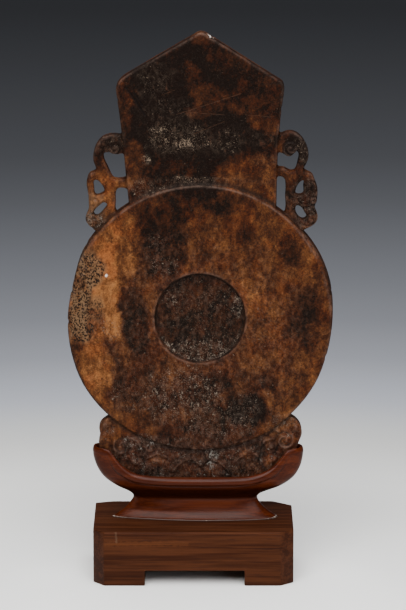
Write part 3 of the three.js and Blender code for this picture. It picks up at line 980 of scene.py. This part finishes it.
def chalk_pits(shader, place):
    """Small dark pits on the chalky side."""
    grain = shader.noise(shader.mapped(place, (1, 1, 0.8), (4, 4, 1)), 1450.0, 3.0, 0.55, 0.4)
    return shader.math(
        "MULTIPLY", shader.between(grain, 0.51, 0.57), shader.between(shader.stored("chalk"), 0.3, 0.8)
    )


def earth_amount(shader, cloud, hollow):
    """How much earth there can be: where it is stored, in hollows, and a little all over."""
    amount = shader.math("MAXIMUM", shader.stored("earth"), shader.math("MULTIPLY", hollow, 0.35))
    return shader.math("MAXIMUM", amount, shader.between(cloud, 0.10, 0.80, 0.32, 0.18))


def earth_colour(shader, place, settings):
    """Earth that is clay on the tablet and dust on the base."""
    height = shader.node("ShaderNodeSeparateXYZ")
    shader.feed(height.inputs["Vector"], place)
    high = shader.between(height.outputs["Z"], CLAY_FROM, CLAY_FULL)
    low = shader.between(height.outputs["Z"], DUST_FULL, DUST_FROM, 1.0, 0.0)
    earth = shader.mix(high, tuple(settings.earth), tuple(settings.clay))
    return shader.mix(low, earth, tuple(settings.dust))


def earth_layer(shader, middle, amount, grains):
    """Where the earth covers the stone: its grains and a thin film between them."""
    covered = shader.math("MULTIPLY", grains, shader.between(amount, 0.05, 0.6, 0.25, 0.85))
    film = shader.math("MULTIPLY", shader.stored("earth"), shader.between(middle, 0.44, 0.70, 0.0, 0.17))
    return shader.math("MAXIMUM", covered, film)


def pale_grit(shader, place, amount):
    """The finest pale grit, mostly where there is earth."""
    grit = shader.noise(shader.mapped(place, location=(2, 6, 8)), 2300.0, 2.0, 0.6)
    share = shader.between(amount, 0.2, 0.8, 0.05, 0.66)
    return shader.math("MULTIPLY", shader.between(grit, 0.60, 0.69), share)


def stone_height(shader, raised, sunk):
    """Adds up raised and sunk details, each a mask and its share."""
    height = None
    for mask, share in (*raised, *((mask, -share) for mask, share in sunk)):
        if height is None:
            height = shader.math("MULTIPLY", mask, share)
        else:
            height = shader.math("MULTIPLY_ADD", mask, share, height)
    return height


def jade_material(settings):
    """Clouded russet jade with chalky weathering, dry earth, pale edges of wear and painted highlight,
    painted shade in its hollows and a painted glint.
    """
    material, principled, shader = new_material("weathered_jade")
    place = shader.object_place()
    coarse = shader.noise(shader.mapped(place, (1, 1, 0.65)), 185.0, 4.0, 0.60, 0.5)
    middle = shader.noise(shader.mapped(place, (1, 1, 0.7), (3, 1, 2)), 560.0, 4.0, 0.62, 0.3)
    fine = shader.noise(shader.mapped(place, location=(7, 2, 5)), 1500.0, 3.0, 0.65)
    cloud = cloud_tone(shader, coarse, middle, fine)
    stone = clouded_stone(shader, place, cloud, settings)
    chalk = shader.math("MULTIPLY", shader.stored("chalk"), shader.between(coarse, 0.36, 0.56, 0.15, 0.95))
    stone = shader.mix(chalk, stone, tuple(settings.ash))
    pores = dark_pores(shader, place, cloud)
    stone = shader.mix(shader.math("MULTIPLY", pores, 0.48), stone, PORE_BROWN)
    pits = chalk_pits(shader, place)
    stone = shader.mix(pits, stone, PIT_BROWN)
    hollow = shader.stored("hollow")
    # Painted shade, with dirt, darkens the hollows, the foot of the disc's edge and the scroll lines.
    stone = shader.mix(shader.math("MULTIPLY", hollow, 0.70), stone, HOLLOW_SHADE_AND_DIRT_BROWN)
    amount = earth_amount(shader, cloud, hollow)
    grains = shader.group(
        shared("dry_specks"), place=place, clump_size=420.0, grain_size=1700.0, amount=amount
    ).outputs["mask"]
    covered = earth_layer(shader, middle, amount, grains)
    stone = shader.mix(covered, stone, earth_colour(shader, place, settings))
    stone = shader.mix(pale_grit(shader, place, amount), stone, GRIT_TAN)
    pale = scratch_lines(shader, place, PALE_SCRATCHES)
    cut = scratch_lines(shader, place, DARK_SCRATCHES)
    stone = shader.mix(shader.math("MULTIPLY", pale, 0.18), stone, PALE_LINE)
    stone = shader.mix(shader.math("MULTIPLY", cut, 0.80), stone, DARK_LINE)
    # Pale edges: wear together with painted highlight.
    edge = shader.math("MULTIPLY", shader.stored("edge"), shader.between(coarse, 0.40, 0.58, 0.12, 0.50))
    stone = shader.mix(edge, stone, RUBBED_AND_HIGHLIT_TAN)
    # Pale chips, and one painted glint on the disc's left.
    stone = shader.mix(shader.stored("chip_and_glint"), stone, CHIP_AND_GLINT_WHITE)
    shader.feed(principled.inputs["Base Color"], stone)
    rough = shader.math("MULTIPLY_ADD", covered, 0.30, 0.50)
    rough = shader.math("MULTIPLY_ADD", chalk, 0.20, rough)
    shader.feed(principled.inputs["Roughness"], shader.math("MULTIPLY_ADD", fine, 0.12, rough, clamp=True))
    lines = shader.math("MAXIMUM", pale, cut)
    height = stone_height(
        shader, ((fine, 0.5), (middle, 0.7), (grains, 0.5)), ((pores, 0.35), (pits, 0.9), (lines, 0.5))
    )
    shader.feed(principled.inputs["Normal"], shader.bump(height, 0.00034, 0.9))
    principled.inputs["Specular IOR Level"].default_value = 0.05
    return material


class JADE_OT_carving(bpy.types.Operator):
    """Sculpt the jade disc, tablet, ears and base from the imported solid"""

    bl_idname = "jade_disc.carving"
    bl_label = "Jade carving"

    def execute(self, context):
        settings = context.scene.jade_carving
        obj = merged_copy("jade_gui_bi", "jade_carving")
        settle(obj, "even_grid", "REMESH", mode="VOXEL", voxel_size=settings.grid, adaptivity=0.0)
        sculpt_jade(obj, settings.relief)
        triangles = 2 * len(obj.data.polygons)
        if triangles > settings.budget:
            settle(obj, "fewer_faces", "DECIMATE", ratio=settings.budget / triangles)
        paint_jade(obj.data)
        shade_smooth(obj.data)
        finish_piece(obj, jade_material(settings), "jade", "jade_gui_bi")
        return {"FINISHED"}


# ------------------------------------------------------------------ the cradle

# Height above the plinth, reach to the left and to the right of the middle, and half the depth.
CRADLE_STATIONS = (
    (0.0, 39.2, 34.2, 7.3),
    (0.5, 39.4, 34.5, 7.45),
    (1.3, 38.4, 33.6, 7.2),
    (4.0, 34.6, 30.0, 6.0),
    (7.4, 31.6, 26.9, 5.1),
    (10.0, 30.3, 26.1, 4.9),
    (11.6, 31.1, 27.6, 5.6),
    (13.0, 33.2, 30.7, 6.7),
    (15.2, 37.7, 36.5, 8.2),
    (19.0, 43.2, 42.1, 9.1),
    (24.0, 46.7, 45.4, 9.3),
    (30.0, 48.5, 46.8, 9.3),
    (37.0, 48.7, 47.0, 9.2),
)
# The rim's height above the plinth from left to right.
CRADLE_RIM = (
    (-52.0, 34.2), (-47.0, 33.8), (-43.2, 33.4), (-40.8, 32.6), (-38.0, 28.8), (-34.4, 25.1),
    (-29.0, 22.1), (-20.0, 20.9), (0.0, 20.5), (20.0, 20.8), (27.0, 22.2), (32.6, 25.1),
    (36.4, 29.0), (39.4, 32.6), (42.0, 33.2), (46.0, 33.5), (50.0, 33.7),
)
# The slot for the jade: reach to the left and right, front and back walls, corner radius.
SLOT_LEFT = 47.1
SLOT_RIGHT = 45.1
SLOT_FRONT = -5.0
SLOT_BACK = 4.45
SLOT_CORNER = 3.4
# The rolled rim: its largest radius, how far it stands out from the hull and its steepest stretch.
BEAD = 2.3
BEAD_PROUD = 0.45
BEAD_STRETCH = 1.6
# Heights of the rows at the foot's lower edge, the rise through the waist, and where the hull starts.
FOOT_ROWS = (0.0, 0.12, 0.3, 0.55, 0.9, 1.3)
FOOT_TOP = 1.3
WAIST_RISE = 13.9
HULL_FROM = 15.2
# The fine groove under the bead, as (drop below the bead, how far in).
GROOVE = ((0.55, 0.06), (0.3, 0.22), (0.12, 0.24))
GROOVE_DROP = 0.9


def smooth_between(table, value, column):
    """Reads a column of a table at a value with a smooth curve through its rows."""
    keys = [row[0] for row in table]
    value = min(max(value, keys[0]), keys[-1])
    i = max(1, next((n for n, key in enumerate(keys) if key >= value), len(keys) - 1))
    rows = [table[max(0, min(len(table) - 1, n))] for n in (i - 2, i - 1, i, i + 1)]
    p0, p1, p2, p3 = (row[column] for row in rows)
    k0, k1, k2, k3 = (row[0] for row in rows)
    span = k2 - k1
    t = (value - k1) / span
    slope1 = (p2 - p0) / (k2 - k0) if k2 > k0 else 0.0
    slope2 = (p3 - p1) / (k3 - k1) if k3 > k1 else 0.0
    steep = (p2 - p1) / span
    limit = 3.0 * abs(steep)
    slope1 = max(-limit, min(limit, slope1))
    slope2 = max(-limit, min(limit, slope2))
    t2, t3 = t * t, t * t * t
    return (
        (2 * t3 - 3 * t2 + 1) * p1
        + (t3 - 2 * t2 + t) * span * slope1
        + (3 * t2 - 2 * t3) * p2
        + (t3 - t2) * span * slope2
    )


def hull_point(angle, height):
    """A point on the outside of the cradle, in millimetres above the plinth."""
    rise = min(max((height - 4.0) / 8.0, 0.0), 1.0)
    rise = rise * rise * (3.0 - 2.0 * rise)
    left = math.cos(angle) < 0
    fullness = (1.5 if left else 2.6) * (1.0 - rise) + 2.8 * rise
    reach = smooth_between(CRADLE_STATIONS, height, 1 if left else 2)
    deep = smooth_between(CRADLE_STATIONS, height, 3)
    cosine, sine = math.cos(angle), math.sin(angle)
    return Vector(
        (
            reach * math.copysign(abs(cosine) ** (2 / fullness), cosine),
            deep * math.copysign(abs(sine) ** (2 / fullness), sine),
            height,
        )
    )


def rim_point(angle):
    """Where the hull meets the rim at this angle."""
    point = hull_point(angle, 33.0)
    for _ in range(30):
        height = smooth_between(CRADLE_RIM, point.x, 1)
        point = hull_point(angle, 0.5 * (point.z + height))
    return point


def even_angles(count):
    """Angles round the cradle, spaced evenly along its plan so that the ends aren't starved of points."""
    fine = [2 * math.pi * i / 4000 for i in range(4001)]
    points = [hull_point(a, 24.0) for a in fine]
    walked = [0.0]
    for a, b in zip(points, points[1:]):
        walked.append(walked[-1] + (b - a).length)
    targets = np.linspace(0.0, walked[-1], count, endpoint=False)
    return list(np.interp(targets, walked, fine))


def slot_point(rim):
    """The point of the slot's outline that lies nearest to a point of the rim."""
    core = Vector(
        (
            min(max(rim.x, SLOT_CORNER - SLOT_LEFT), SLOT_RIGHT - SLOT_CORNER),
            min(max(rim.y, SLOT_FRONT + SLOT_CORNER), SLOT_BACK - SLOT_CORNER),
            rim.z,
        )
    )
    return core + (rim - core).normalized() * SLOT_CORNER


def slot_floor(x):
    """Height of the slot's floor, which follows the round underside of the carving."""
    return 15.1 + 11.5 * (abs(x) / 42.0) ** 3.2


def bead_size(rim, wall, out):
    """The bead's half width, how far it stands proud, its half height and the angle where it starts."""
    full = min(BEAD, 0.5 * ((rim - wall).length + BEAD_PROUD * 0.5))
    fade = min(max((43.5 - abs(rim.x + 1.0)) / 4.0, 0.0), 1.0)
    proud = BEAD_PROUD * full / BEAD * (0.04 + 0.96 * fade)
    rise = smooth_between(CRADLE_RIM, rim.x + 0.5, 1) - smooth_between(CRADLE_RIM, rim.x - 0.5, 1)
    slope = rise * abs(out.y)
    tall = BEAD * min(BEAD_STRETCH, math.hypot(1.0, slope))
    return full, proud, tall, math.acos(1.0 - proud / full)


def hull_rows(angles, lows):
    """Rows from the foot, through the waist and up the hull to the groove under the bead."""
    rows = [[hull_point(a, height) for a in angles] for height in FOOT_ROWS]
    rows += [[hull_point(a, FOOT_TOP + WAIST_RISE * i / 24) for a in angles] for i in range(1, 25)]
    for i in range(1, 19):
        row = []
        for a, low in zip(angles, lows):
            row.append(hull_point(a, HULL_FROM + (low - GROOVE_DROP - HULL_FROM) * i / 18))
        rows.append(row)
    return rows


def groove_rows(angles, lows, outs, beads):
    """Rows of the fine groove, which fades where the bead does."""
    rows = []
    for below, inward in GROOVE:
        row = []
        for a, low, out, (_, proud, _, _) in zip(angles, lows, outs, beads):
            row.append(hull_point(a, low - below) - out * (inward * proud / BEAD_PROUD))
        rows.append(row)
    return rows


def bead_rows(rims, outs, beads):
    """Rows over the rolled rim, from outside to inside."""
    rows = []
    for i in range(15):
        row = []
        for rim, out, (full, proud, tall, start) in zip(rims, outs, beads):
            turn = -start + (math.pi + start) * i / 14
            drop = Vector((0, 0, tall * (math.sin(turn) - 1.0)))
            row.append(rim + out * (proud - full + full * math.cos(turn)) + drop)
        rows.append(row)
    return rows


def slot_rows(rims, walls, beads):
    """Rows down the slot's walls, and the line along its floor where they meet."""
    rows = []
    for share in (0.0, 0.06, 0.5, 0.94, 1.0):
        row = []
        for rim, wall, (_, _, tall, _) in zip(rims, walls, beads):
            top = rim.z - tall
            low = min(slot_floor(wall.x), top - 0.5)
            row.append(Vector((wall.x, wall.y, top + (low - top) * share)))
        rows.append(row)
    last = rows[-1]
    middle = []
    for i, place in enumerate(last):
        across = 0.5 * (place.x + last[-i].x)
        middle.append(Vector((across, 0.5 * (SLOT_FRONT + SLOT_BACK), 0.5 * (place.z + last[-i].z))))
    rows.append(middle)
    return rows


def cradle_rows(angles):
    """Rows of points from the foot, up the hull, over the rolled rim and down into the slot."""
    rims = [rim_point(angle) for angle in angles]
    walls = [slot_point(rim) for rim in rims]
    outs = [(rim - wall).normalized() for rim, wall in zip(rims, walls)]
    beads = [bead_size(rim, wall, out) for rim, wall, out in zip(rims, walls, outs)]
    lows = [rim.z - tall * (1.0 + math.sin(start)) for rim, (_, _, tall, start) in zip(rims, beads)]
    rows = hull_rows(angles, lows)
    rows += groove_rows(angles, lows, outs, beads)
    rows += bead_rows(rims, outs, beads)
    rows += slot_rows(rims, walls, beads)
    return rows


class JADE_OT_cradle(bpy.types.Operator):
    """Shape and polish the boat-shaped cradle"""

    bl_idname = "jade_disc.cradle"
    bl_label = "Wooden cradle"

    def execute(self, context):
        settings = context.scene.jade_cradle
        rows = cradle_rows(even_angles(settings.turns))
        work = bmesh.new()
        loop = bmesh.ops.create_circle(work, segments=settings.turns, radius=1.0, cap_ends=True)["verts"]
        edges = list(work.edges)
        for vert, place in zip(loop, rows[0]):
            vert.co = place
        for row in rows[1:]:
            loop, edges = grow_loop(work, loop, edges, row)
        obj = new_piece(work, "cradle")
        finish_piece(obj, cradle_material(settings), "cradle_wood", "wooden_cradle")
        return {"FINISHED"}


# Heights above the plinth, in metres, between which the painted shade on the waist comes and goes.
WAIST_FROM = 0.0088
WAIST_FULL = 0.0104
WAIST_FADING = 0.0142
WAIST_GONE = 0.0176
WAIST_SHADE_BROWN = (0.004, 0.0006, 0.0002)


def cradle_material(settings):
    """Dark red hardwood under a clear polish, with painted shade darkening its downward-facing waist."""
    material, principled, shader = new_material("polished_cradle_wood")
    place = shader.object_place()
    grain = shader.group(
        shared("wood_grain"),
        place=place,
        dark=tuple(settings.dark),
        light=tuple(settings.light),
        pores=0.25,
    )
    height = shader.node("ShaderNodeSeparateXYZ")
    shader.feed(height.inputs["Vector"], place)
    above = shader.between(height.outputs["Z"], PLINTH_TOP + WAIST_FROM, PLINTH_TOP + WAIST_FULL)
    below = shader.between(height.outputs["Z"], PLINTH_TOP + WAIST_FADING, PLINTH_TOP + WAIST_GONE, 1.0, 0.0)
    # Painted shade: the waist, which faces down, is darkened towards a near-black brown.
    waist = shader.math("MULTIPLY", shader.math("MULTIPLY", above, below), 0.72)
    wood = shader.mix(waist, grain.outputs["color"], WAIST_SHADE_BROWN)
    shader.feed(principled.inputs["Base Color"], wood)
    smudge = shader.noise(place, 60.0, 4.0, 0.6)
    shader.feed(principled.inputs["Roughness"], shader.between(smudge, 0.3, 0.7, 0.30, 0.42))
    shader.feed(principled.inputs["Normal"], shader.bump(grain.outputs["height"], 0.00004, 0.5))
    principled.inputs["Specular IOR Level"].default_value = 0.05
    principled.inputs["Coat Weight"].default_value = settings.lacquer
    principled.inputs["Coat Roughness"].default_value = 0.22
    return material


# ------------------------------------------------------------------ the plinth


class JADE_OT_plinth(bpy.types.Operator):
    """Rub the edges of the plinth and give it its grain"""

    bl_idname = "jade_disc.plinth"
    bl_label = "Wooden plinth"

    def execute(self, context):
        settings = context.scene.jade_plinth
        obj = merged_copy("wooden_plinth", "plinth")
        work = bmesh.new()
        work.from_mesh(obj.data)
        bmesh.ops.dissolve_limit(work, angle_limit=math.radians(1), verts=work.verts, edges=work.edges)
        sharp = [e for e in work.edges if len(e.link_faces) == 2 and e.calc_face_angle() > math.radians(20)]
        bmesh.ops.bevel(
            work,
            geom=sharp,
            offset=settings.edge,
            segments=3,
            profile=0.5,
            affect="EDGES",
            material=-1,
            clamp_overlap=True,
        )
        bmesh.ops.triangulate(work, faces=[f for f in work.faces if len(f.verts) > 4])
        work.to_mesh(obj.data)
        work.free()
        shade_smooth(obj.data)
        obj.data.set_sharp_from_angle(angle=math.radians(40))
        finish_piece(obj, plinth_material(settings), "plinth_wood", "wooden_plinth")
        return {"FINISHED"}


# The plinth's front lies between these places, in metres, counted from its outside.
FRONT_OUTSIDE = -0.0262
FRONT_INSIDE = -0.0240
# Marks on the plinth's front, in metres: start, end, width, strength and colour.
FRONT_MARKS = (
    ((-0.0430, 0.0, 0.0197), (-0.0060, 0.0, 0.0199), 0.0016, 0.36, (0.078, 0.0245, 0.0080)),
    ((-0.0378, 0.0, 0.0250), (-0.0376, 0.0, 0.0206), 0.0007, 0.20, (0.120, 0.080, 0.052)),
)


def plinth_material(settings):
    """Straight-grained brown hardwood with a satin finish."""
    material, principled, shader = new_material("satin_plinth_wood")
    place = shader.object_place()
    grain = shader.group(
        shared("wood_grain"),
        place=place,
        dark=tuple(settings.dark),
        light=tuple(settings.light),
        pores=0.7,
    )
    axes = shader.node("ShaderNodeSeparateXYZ")
    shader.feed(axes.inputs["Vector"], place)
    front = shader.between(axes.outputs["Y"], FRONT_OUTSIDE, FRONT_INSIDE, 1.0, 0.0)
    wood = grain.outputs["color"]
    for start, end, width, strength, tone in FRONT_MARKS:
        mark = shader.group(shared("scratch"), place=place, start=start, end=end, width=width).outputs["mask"]
        mark = shader.math("MULTIPLY", shader.math("MULTIPLY", mark, front), strength)
        wood = shader.mix(mark, wood, tone)
    shader.feed(principled.inputs["Base Color"], wood)
    smudge = shader.noise(place, 80.0, 4.0, 0.6)
    shader.feed(principled.inputs["Roughness"], shader.between(smudge, 0.3, 0.7, 0.42, 0.56))
    shader.feed(principled.inputs["Normal"], shader.bump(grain.outputs["height"], 0.00006, 0.6))
    principled.inputs["Specular IOR Level"].default_value = 0.045
    return material


# ------------------------------------------------------------------ the glue line


GLUE_STEPS = 300
GLUE_SIDES = 8
# How far the glue's roll reaches below its middle, in millimetres.
GLUE_BELOW = 0.22
BARE_BROWN = (0.036, 0.016, 0.011)


def glue_path():
    """Places along the foot's lower edge, each with its outward direction."""
    path = []
    for i in range(GLUE_STEPS):
        foot = hull_point(2 * math.pi * i / GLUE_STEPS, 0.25)
        out = Vector((foot.x, foot.y, 0.0)).normalized()
        path.append((foot + out * 0.05, out))
    return path


def glue_sizes(path, radius):
    """The uneven radius along the path, fuller at the foot's two tips."""
    places = np.array([list(centre) for centre, _ in path])
    swell = 0.65 + 0.75 * layered(places, 5.0, 211) + 0.5 * (lumps(places, 1.6, 223) - 0.5)
    tips = np.maximum(ramp(-places[:, 0], 36.5, 39.0), ramp(places[:, 0], 31.5, 34.0))
    return radius * swell * (1.0 + 0.5 * tips)


def glue_section(centre, out, size):
    """The roll's outline at one place, flattened where it lies on the plinth."""
    places = []
    for turn in (2 * math.pi * k / GLUE_SIDES for k in range(GLUE_SIDES)):
        lift = Vector((0, 0, max(-GLUE_BELOW, 0.75 * size * math.sin(turn))))
        places.append(centre + out * (size * math.cos(turn)) + lift)
    return places


def glue_material(settings):
    """Brown glue that has caught pale dust, most of all at the foot's two tips."""
    material, principled, shader = new_material("dusty_glue")
    place = shader.object_place()
    axes = shader.node("ShaderNodeSeparateXYZ")
    shader.feed(axes.inputs["Vector"], place)
    tip = shader.math("ABSOLUTE", shader.math("ADD", axes.outputs["X"], 0.0025))
    tip = shader.between(tip, 0.029, 0.036)
    dust = shader.group(
        shared("dry_specks"),
        place=place,
        clump_size=260.0,
        grain_size=1500.0,
        amount=shader.math("MULTIPLY_ADD", tip, 0.55, 0.48),
    ).outputs["mask"]
    shader.feed(principled.inputs["Base Color"], shader.mix(dust, BARE_BROWN, tuple(settings.tone)))
    principled.inputs["Roughness"].default_value = 0.6
    return material


class JADE_OT_glue(bpy.types.Operator):
    """Lay the squeezed-out glue round the cradle's foot"""

    bl_idname = "jade_disc.glue"
    bl_label = "Glue line"

    def execute(self, context):
        settings = context.scene.jade_glue
        radius = settings.width / MM
        path = glue_path()
        rows = [glue_section(*place, size) for place, size in zip(path, glue_sizes(path, radius))]
        work = bmesh.new()
        loop = bmesh.ops.create_circle(work, segments=GLUE_SIDES, radius=radius)["verts"]
        for vert, place in zip(loop, rows[0]):
            vert.co = place
        edges = list(work.edges)
        first = list(edges)
        for row in rows[1:]:
            loop, edges = grow_loop(work, loop, edges, row)
        bmesh.ops.bridge_loops(work, edges=first + edges)
        obj = new_piece(work, "glue_line")
        finish_piece(obj, glue_material(settings), "cradle_wood")
        return {"FINISHED"}


# ------------------------------------------------------------------ the stage


# The floor's radius and how far its tones reach, in metres.
FLOOR_RADIUS = 12.0
FLOOR_FADE = 6.0
# The floor's tone at each distance in metres, painting the light's falloff: pale round the object, dark
# beyond, pale again far out.
FLOOR_TONES = (
    (0.08, 0.80),
    (0.125, 0.65),
    (0.18, 0.61),
    (0.245, 0.60),
    (0.318, 0.425),
    (0.40, 0.282),
    (0.49, 0.186),
    (0.585, 0.137),
    (0.69, 0.111),
    (0.81, 0.091),
    (0.94, 0.072),
    (1.1, 0.058),
    (1.8, 0.050),
    (2.4, 0.075),
    (3.2, 0.17),
    (4.5, 0.45),
    (6.0, 0.85),
)
# The tones that the near and far colours stand for, and between which distances the far one is used.
NEAR_TONE = 0.8
FAR_TONE = 0.05
FAR_FROM = 0.35
FAR_TO = 4.0
# Soft lights as (name, place, size, power, tint), all aimed at the middle of the object.
LIGHTS = (
    ("key_light", (-0.20, -1.15, 1.30), 1.4, 64.0, (1.0, 0.985, 0.965)),
    ("fill_light", (0.95, -1.25, 0.80), 1.0, 14.0, (0.97, 0.985, 1.0)),
    ("top_light", (0.05, 0.20, 1.45), 1.2, 26.0, (1.0, 1.0, 1.0)),
)
LIGHTS_AIM = Vector((0.0, 0.0, 0.11))
CAMERA_AIM = Vector((0.00135, 0.0, 0.124))
SENSOR_WIDTH = 36.0
CAMERA_REACH = 100.0
AIR_COLOUR = (0.62, 0.65, 0.70, 1.0)
AIR_STRENGTH = 0.085


def floor_material(settings):
    """A matt floor whose tone changes with the distance from the object, painting light that falls off away
    from it.
    """
    material, principled, shader = new_material("pale_floor")
    reach = shader.node("ShaderNodeVectorMath", operation="DISTANCE")
    shader.feed(reach.inputs[0], shader.object_place())
    shader.feed(reach.inputs[1], (0.0, -0.08, 0.0))
    near, far = Vector(settings.near), Vector(settings.far)
    stops = []
    for away, tone in FLOOR_TONES:
        is_far = FAR_FROM <= away <= FAR_TO
        shade = far * (tone / FAR_TONE) if is_far else near * (tone / NEAR_TONE)
        stops.append((away / FLOOR_FADE, tuple(shade)))
    place = shader.math("DIVIDE", reach.outputs["Value"], FLOOR_FADE)
    shader.feed(principled.inputs["Base Color"], shader.blend_stops(place, stops))
    principled.inputs["Roughness"].default_value = 0.9
    principled.inputs["Specular IOR Level"].default_value = 0.0
    return material


def lay_floor(context, settings):
    """A round floor under the object."""
    work = bmesh.new()
    bmesh.ops.create_circle(work, segments=96, radius=FLOOR_RADIUS, cap_ends=True)
    mesh = bpy.data.meshes.new("floor")
    work.to_mesh(mesh)
    work.free()
    floor = bpy.data.objects.new("floor", mesh)
    context.scene.collection.objects.link(floor)
    mesh.materials.append(floor_material(settings))


def place_camera(context, settings):
    """A long lens in front of the object, looking a little down."""
    lens_data = bpy.data.cameras.new("camera")
    lens_data.lens = settings.lens
    lens_data.sensor_width = SENSOR_WIDTH
    lens_data.clip_end = CAMERA_REACH
    camera = bpy.data.objects.new("camera", lens_data)
    context.scene.collection.objects.link(camera)
    away = Vector((0.0, -math.cos(settings.pitch), math.sin(settings.pitch)))
    camera.location = CAMERA_AIM + settings.distance * away
    camera.rotation_euler = (math.pi / 2 - settings.pitch, 0.0, 0.0)
    context.scene.camera = camera


def hang_lights(context):
    """Three soft square lights."""
    for name, place, size, power, tint in LIGHTS:
        data = bpy.data.lights.new(name, "AREA")
        data.shape = "SQUARE"
        data.size = size
        data.energy = power
        data.color = tint
        lamp = bpy.data.objects.new(name, data)
        lamp.location = place
        lamp.rotation_euler = (LIGHTS_AIM - Vector(place)).to_track_quat("-Z", "Y").to_euler()
        context.scene.collection.objects.link(lamp)


def fill_air(context):
    """A little cool light from all round."""
    world = bpy.data.worlds.new("studio_air")
    world.use_nodes = True
    background = world.node_tree.nodes["Background"]
    background.inputs["Color"].default_value = AIR_COLOUR
    background.inputs["Strength"].default_value = AIR_STRENGTH
    context.scene.world = world


class JADE_OT_stage(bpy.types.Operator):
    """Set the floor, the camera and the soft lights"""

    bl_idname = "jade_disc.stage"
    bl_label = "Stage"

    def execute(self, context):
        settings = context.scene.jade_stage
        lay_floor(context, settings)
        place_camera(context, settings)
        hang_lights(context)
        fill_air(context)
        return {"FINISHED"}


# ------------------------------------------------------------------ panel and registration


class JADE_PT_panel(bpy.types.Panel):
    """Lists the pieces of the jade disc and its stand"""

    bl_idname = "JADE_PT_panel"
    bl_label = "Jade disc"
    bl_space_type = "VIEW_3D"
    bl_region_type = "UI"
    bl_category = "Jade disc"

    def draw(self, context):
        for operator, holder in PANEL_ROWS:
            box = self.layout.box()
            box.operator(operator)
            settings = getattr(context.scene, holder)
            for name in settings.bl_rna.properties.keys():
                if name not in {"rna_type", "name"}:
                    box.prop(settings, name)


PANEL_ROWS = (
    ("jade_disc.carving", "jade_carving"),
    ("jade_disc.cradle", "jade_cradle"),
    ("jade_disc.plinth", "jade_plinth"),
    ("jade_disc.glue", "jade_glue"),
    ("jade_disc.stage", "jade_stage"),
)
HOLDERS = (
    ("jade_carving", JadeSettings),
    ("jade_cradle", CradleSettings),
    ("jade_plinth", PlinthSettings),
    ("jade_glue", GlueSettings),
    ("jade_stage", StageSettings),
)
CLASSES = (
    *(group for _, group in HOLDERS),
    JADE_OT_carving,
    JADE_OT_cradle,
    JADE_OT_plinth,
    JADE_OT_glue,
    JADE_OT_stage,
    JADE_PT_panel,
)


def register():
    """Makes the classes and their settings known."""
    for entry in CLASSES:
        bpy.utils.register_class(entry)
    for name, group in HOLDERS:
        setattr(bpy.types.Scene, name, bpy.props.PointerProperty(type=group))


def unregister():
    """Takes the classes and their settings away again."""
    for name, _ in HOLDERS:
        delattr(bpy.types.Scene, name)
    for entry in reversed(CLASSES):
        bpy.utils.unregister_class(entry)


def main():
    """Builds the stage and every piece."""
    register()
    bpy.ops.jade_disc.stage()
    bpy.ops.jade_disc.carving()
    bpy.ops.jade_disc.cradle()
    bpy.ops.jade_disc.plinth()
    bpy.ops.jade_disc.glue()


if __name__ == "__main__":
    main()
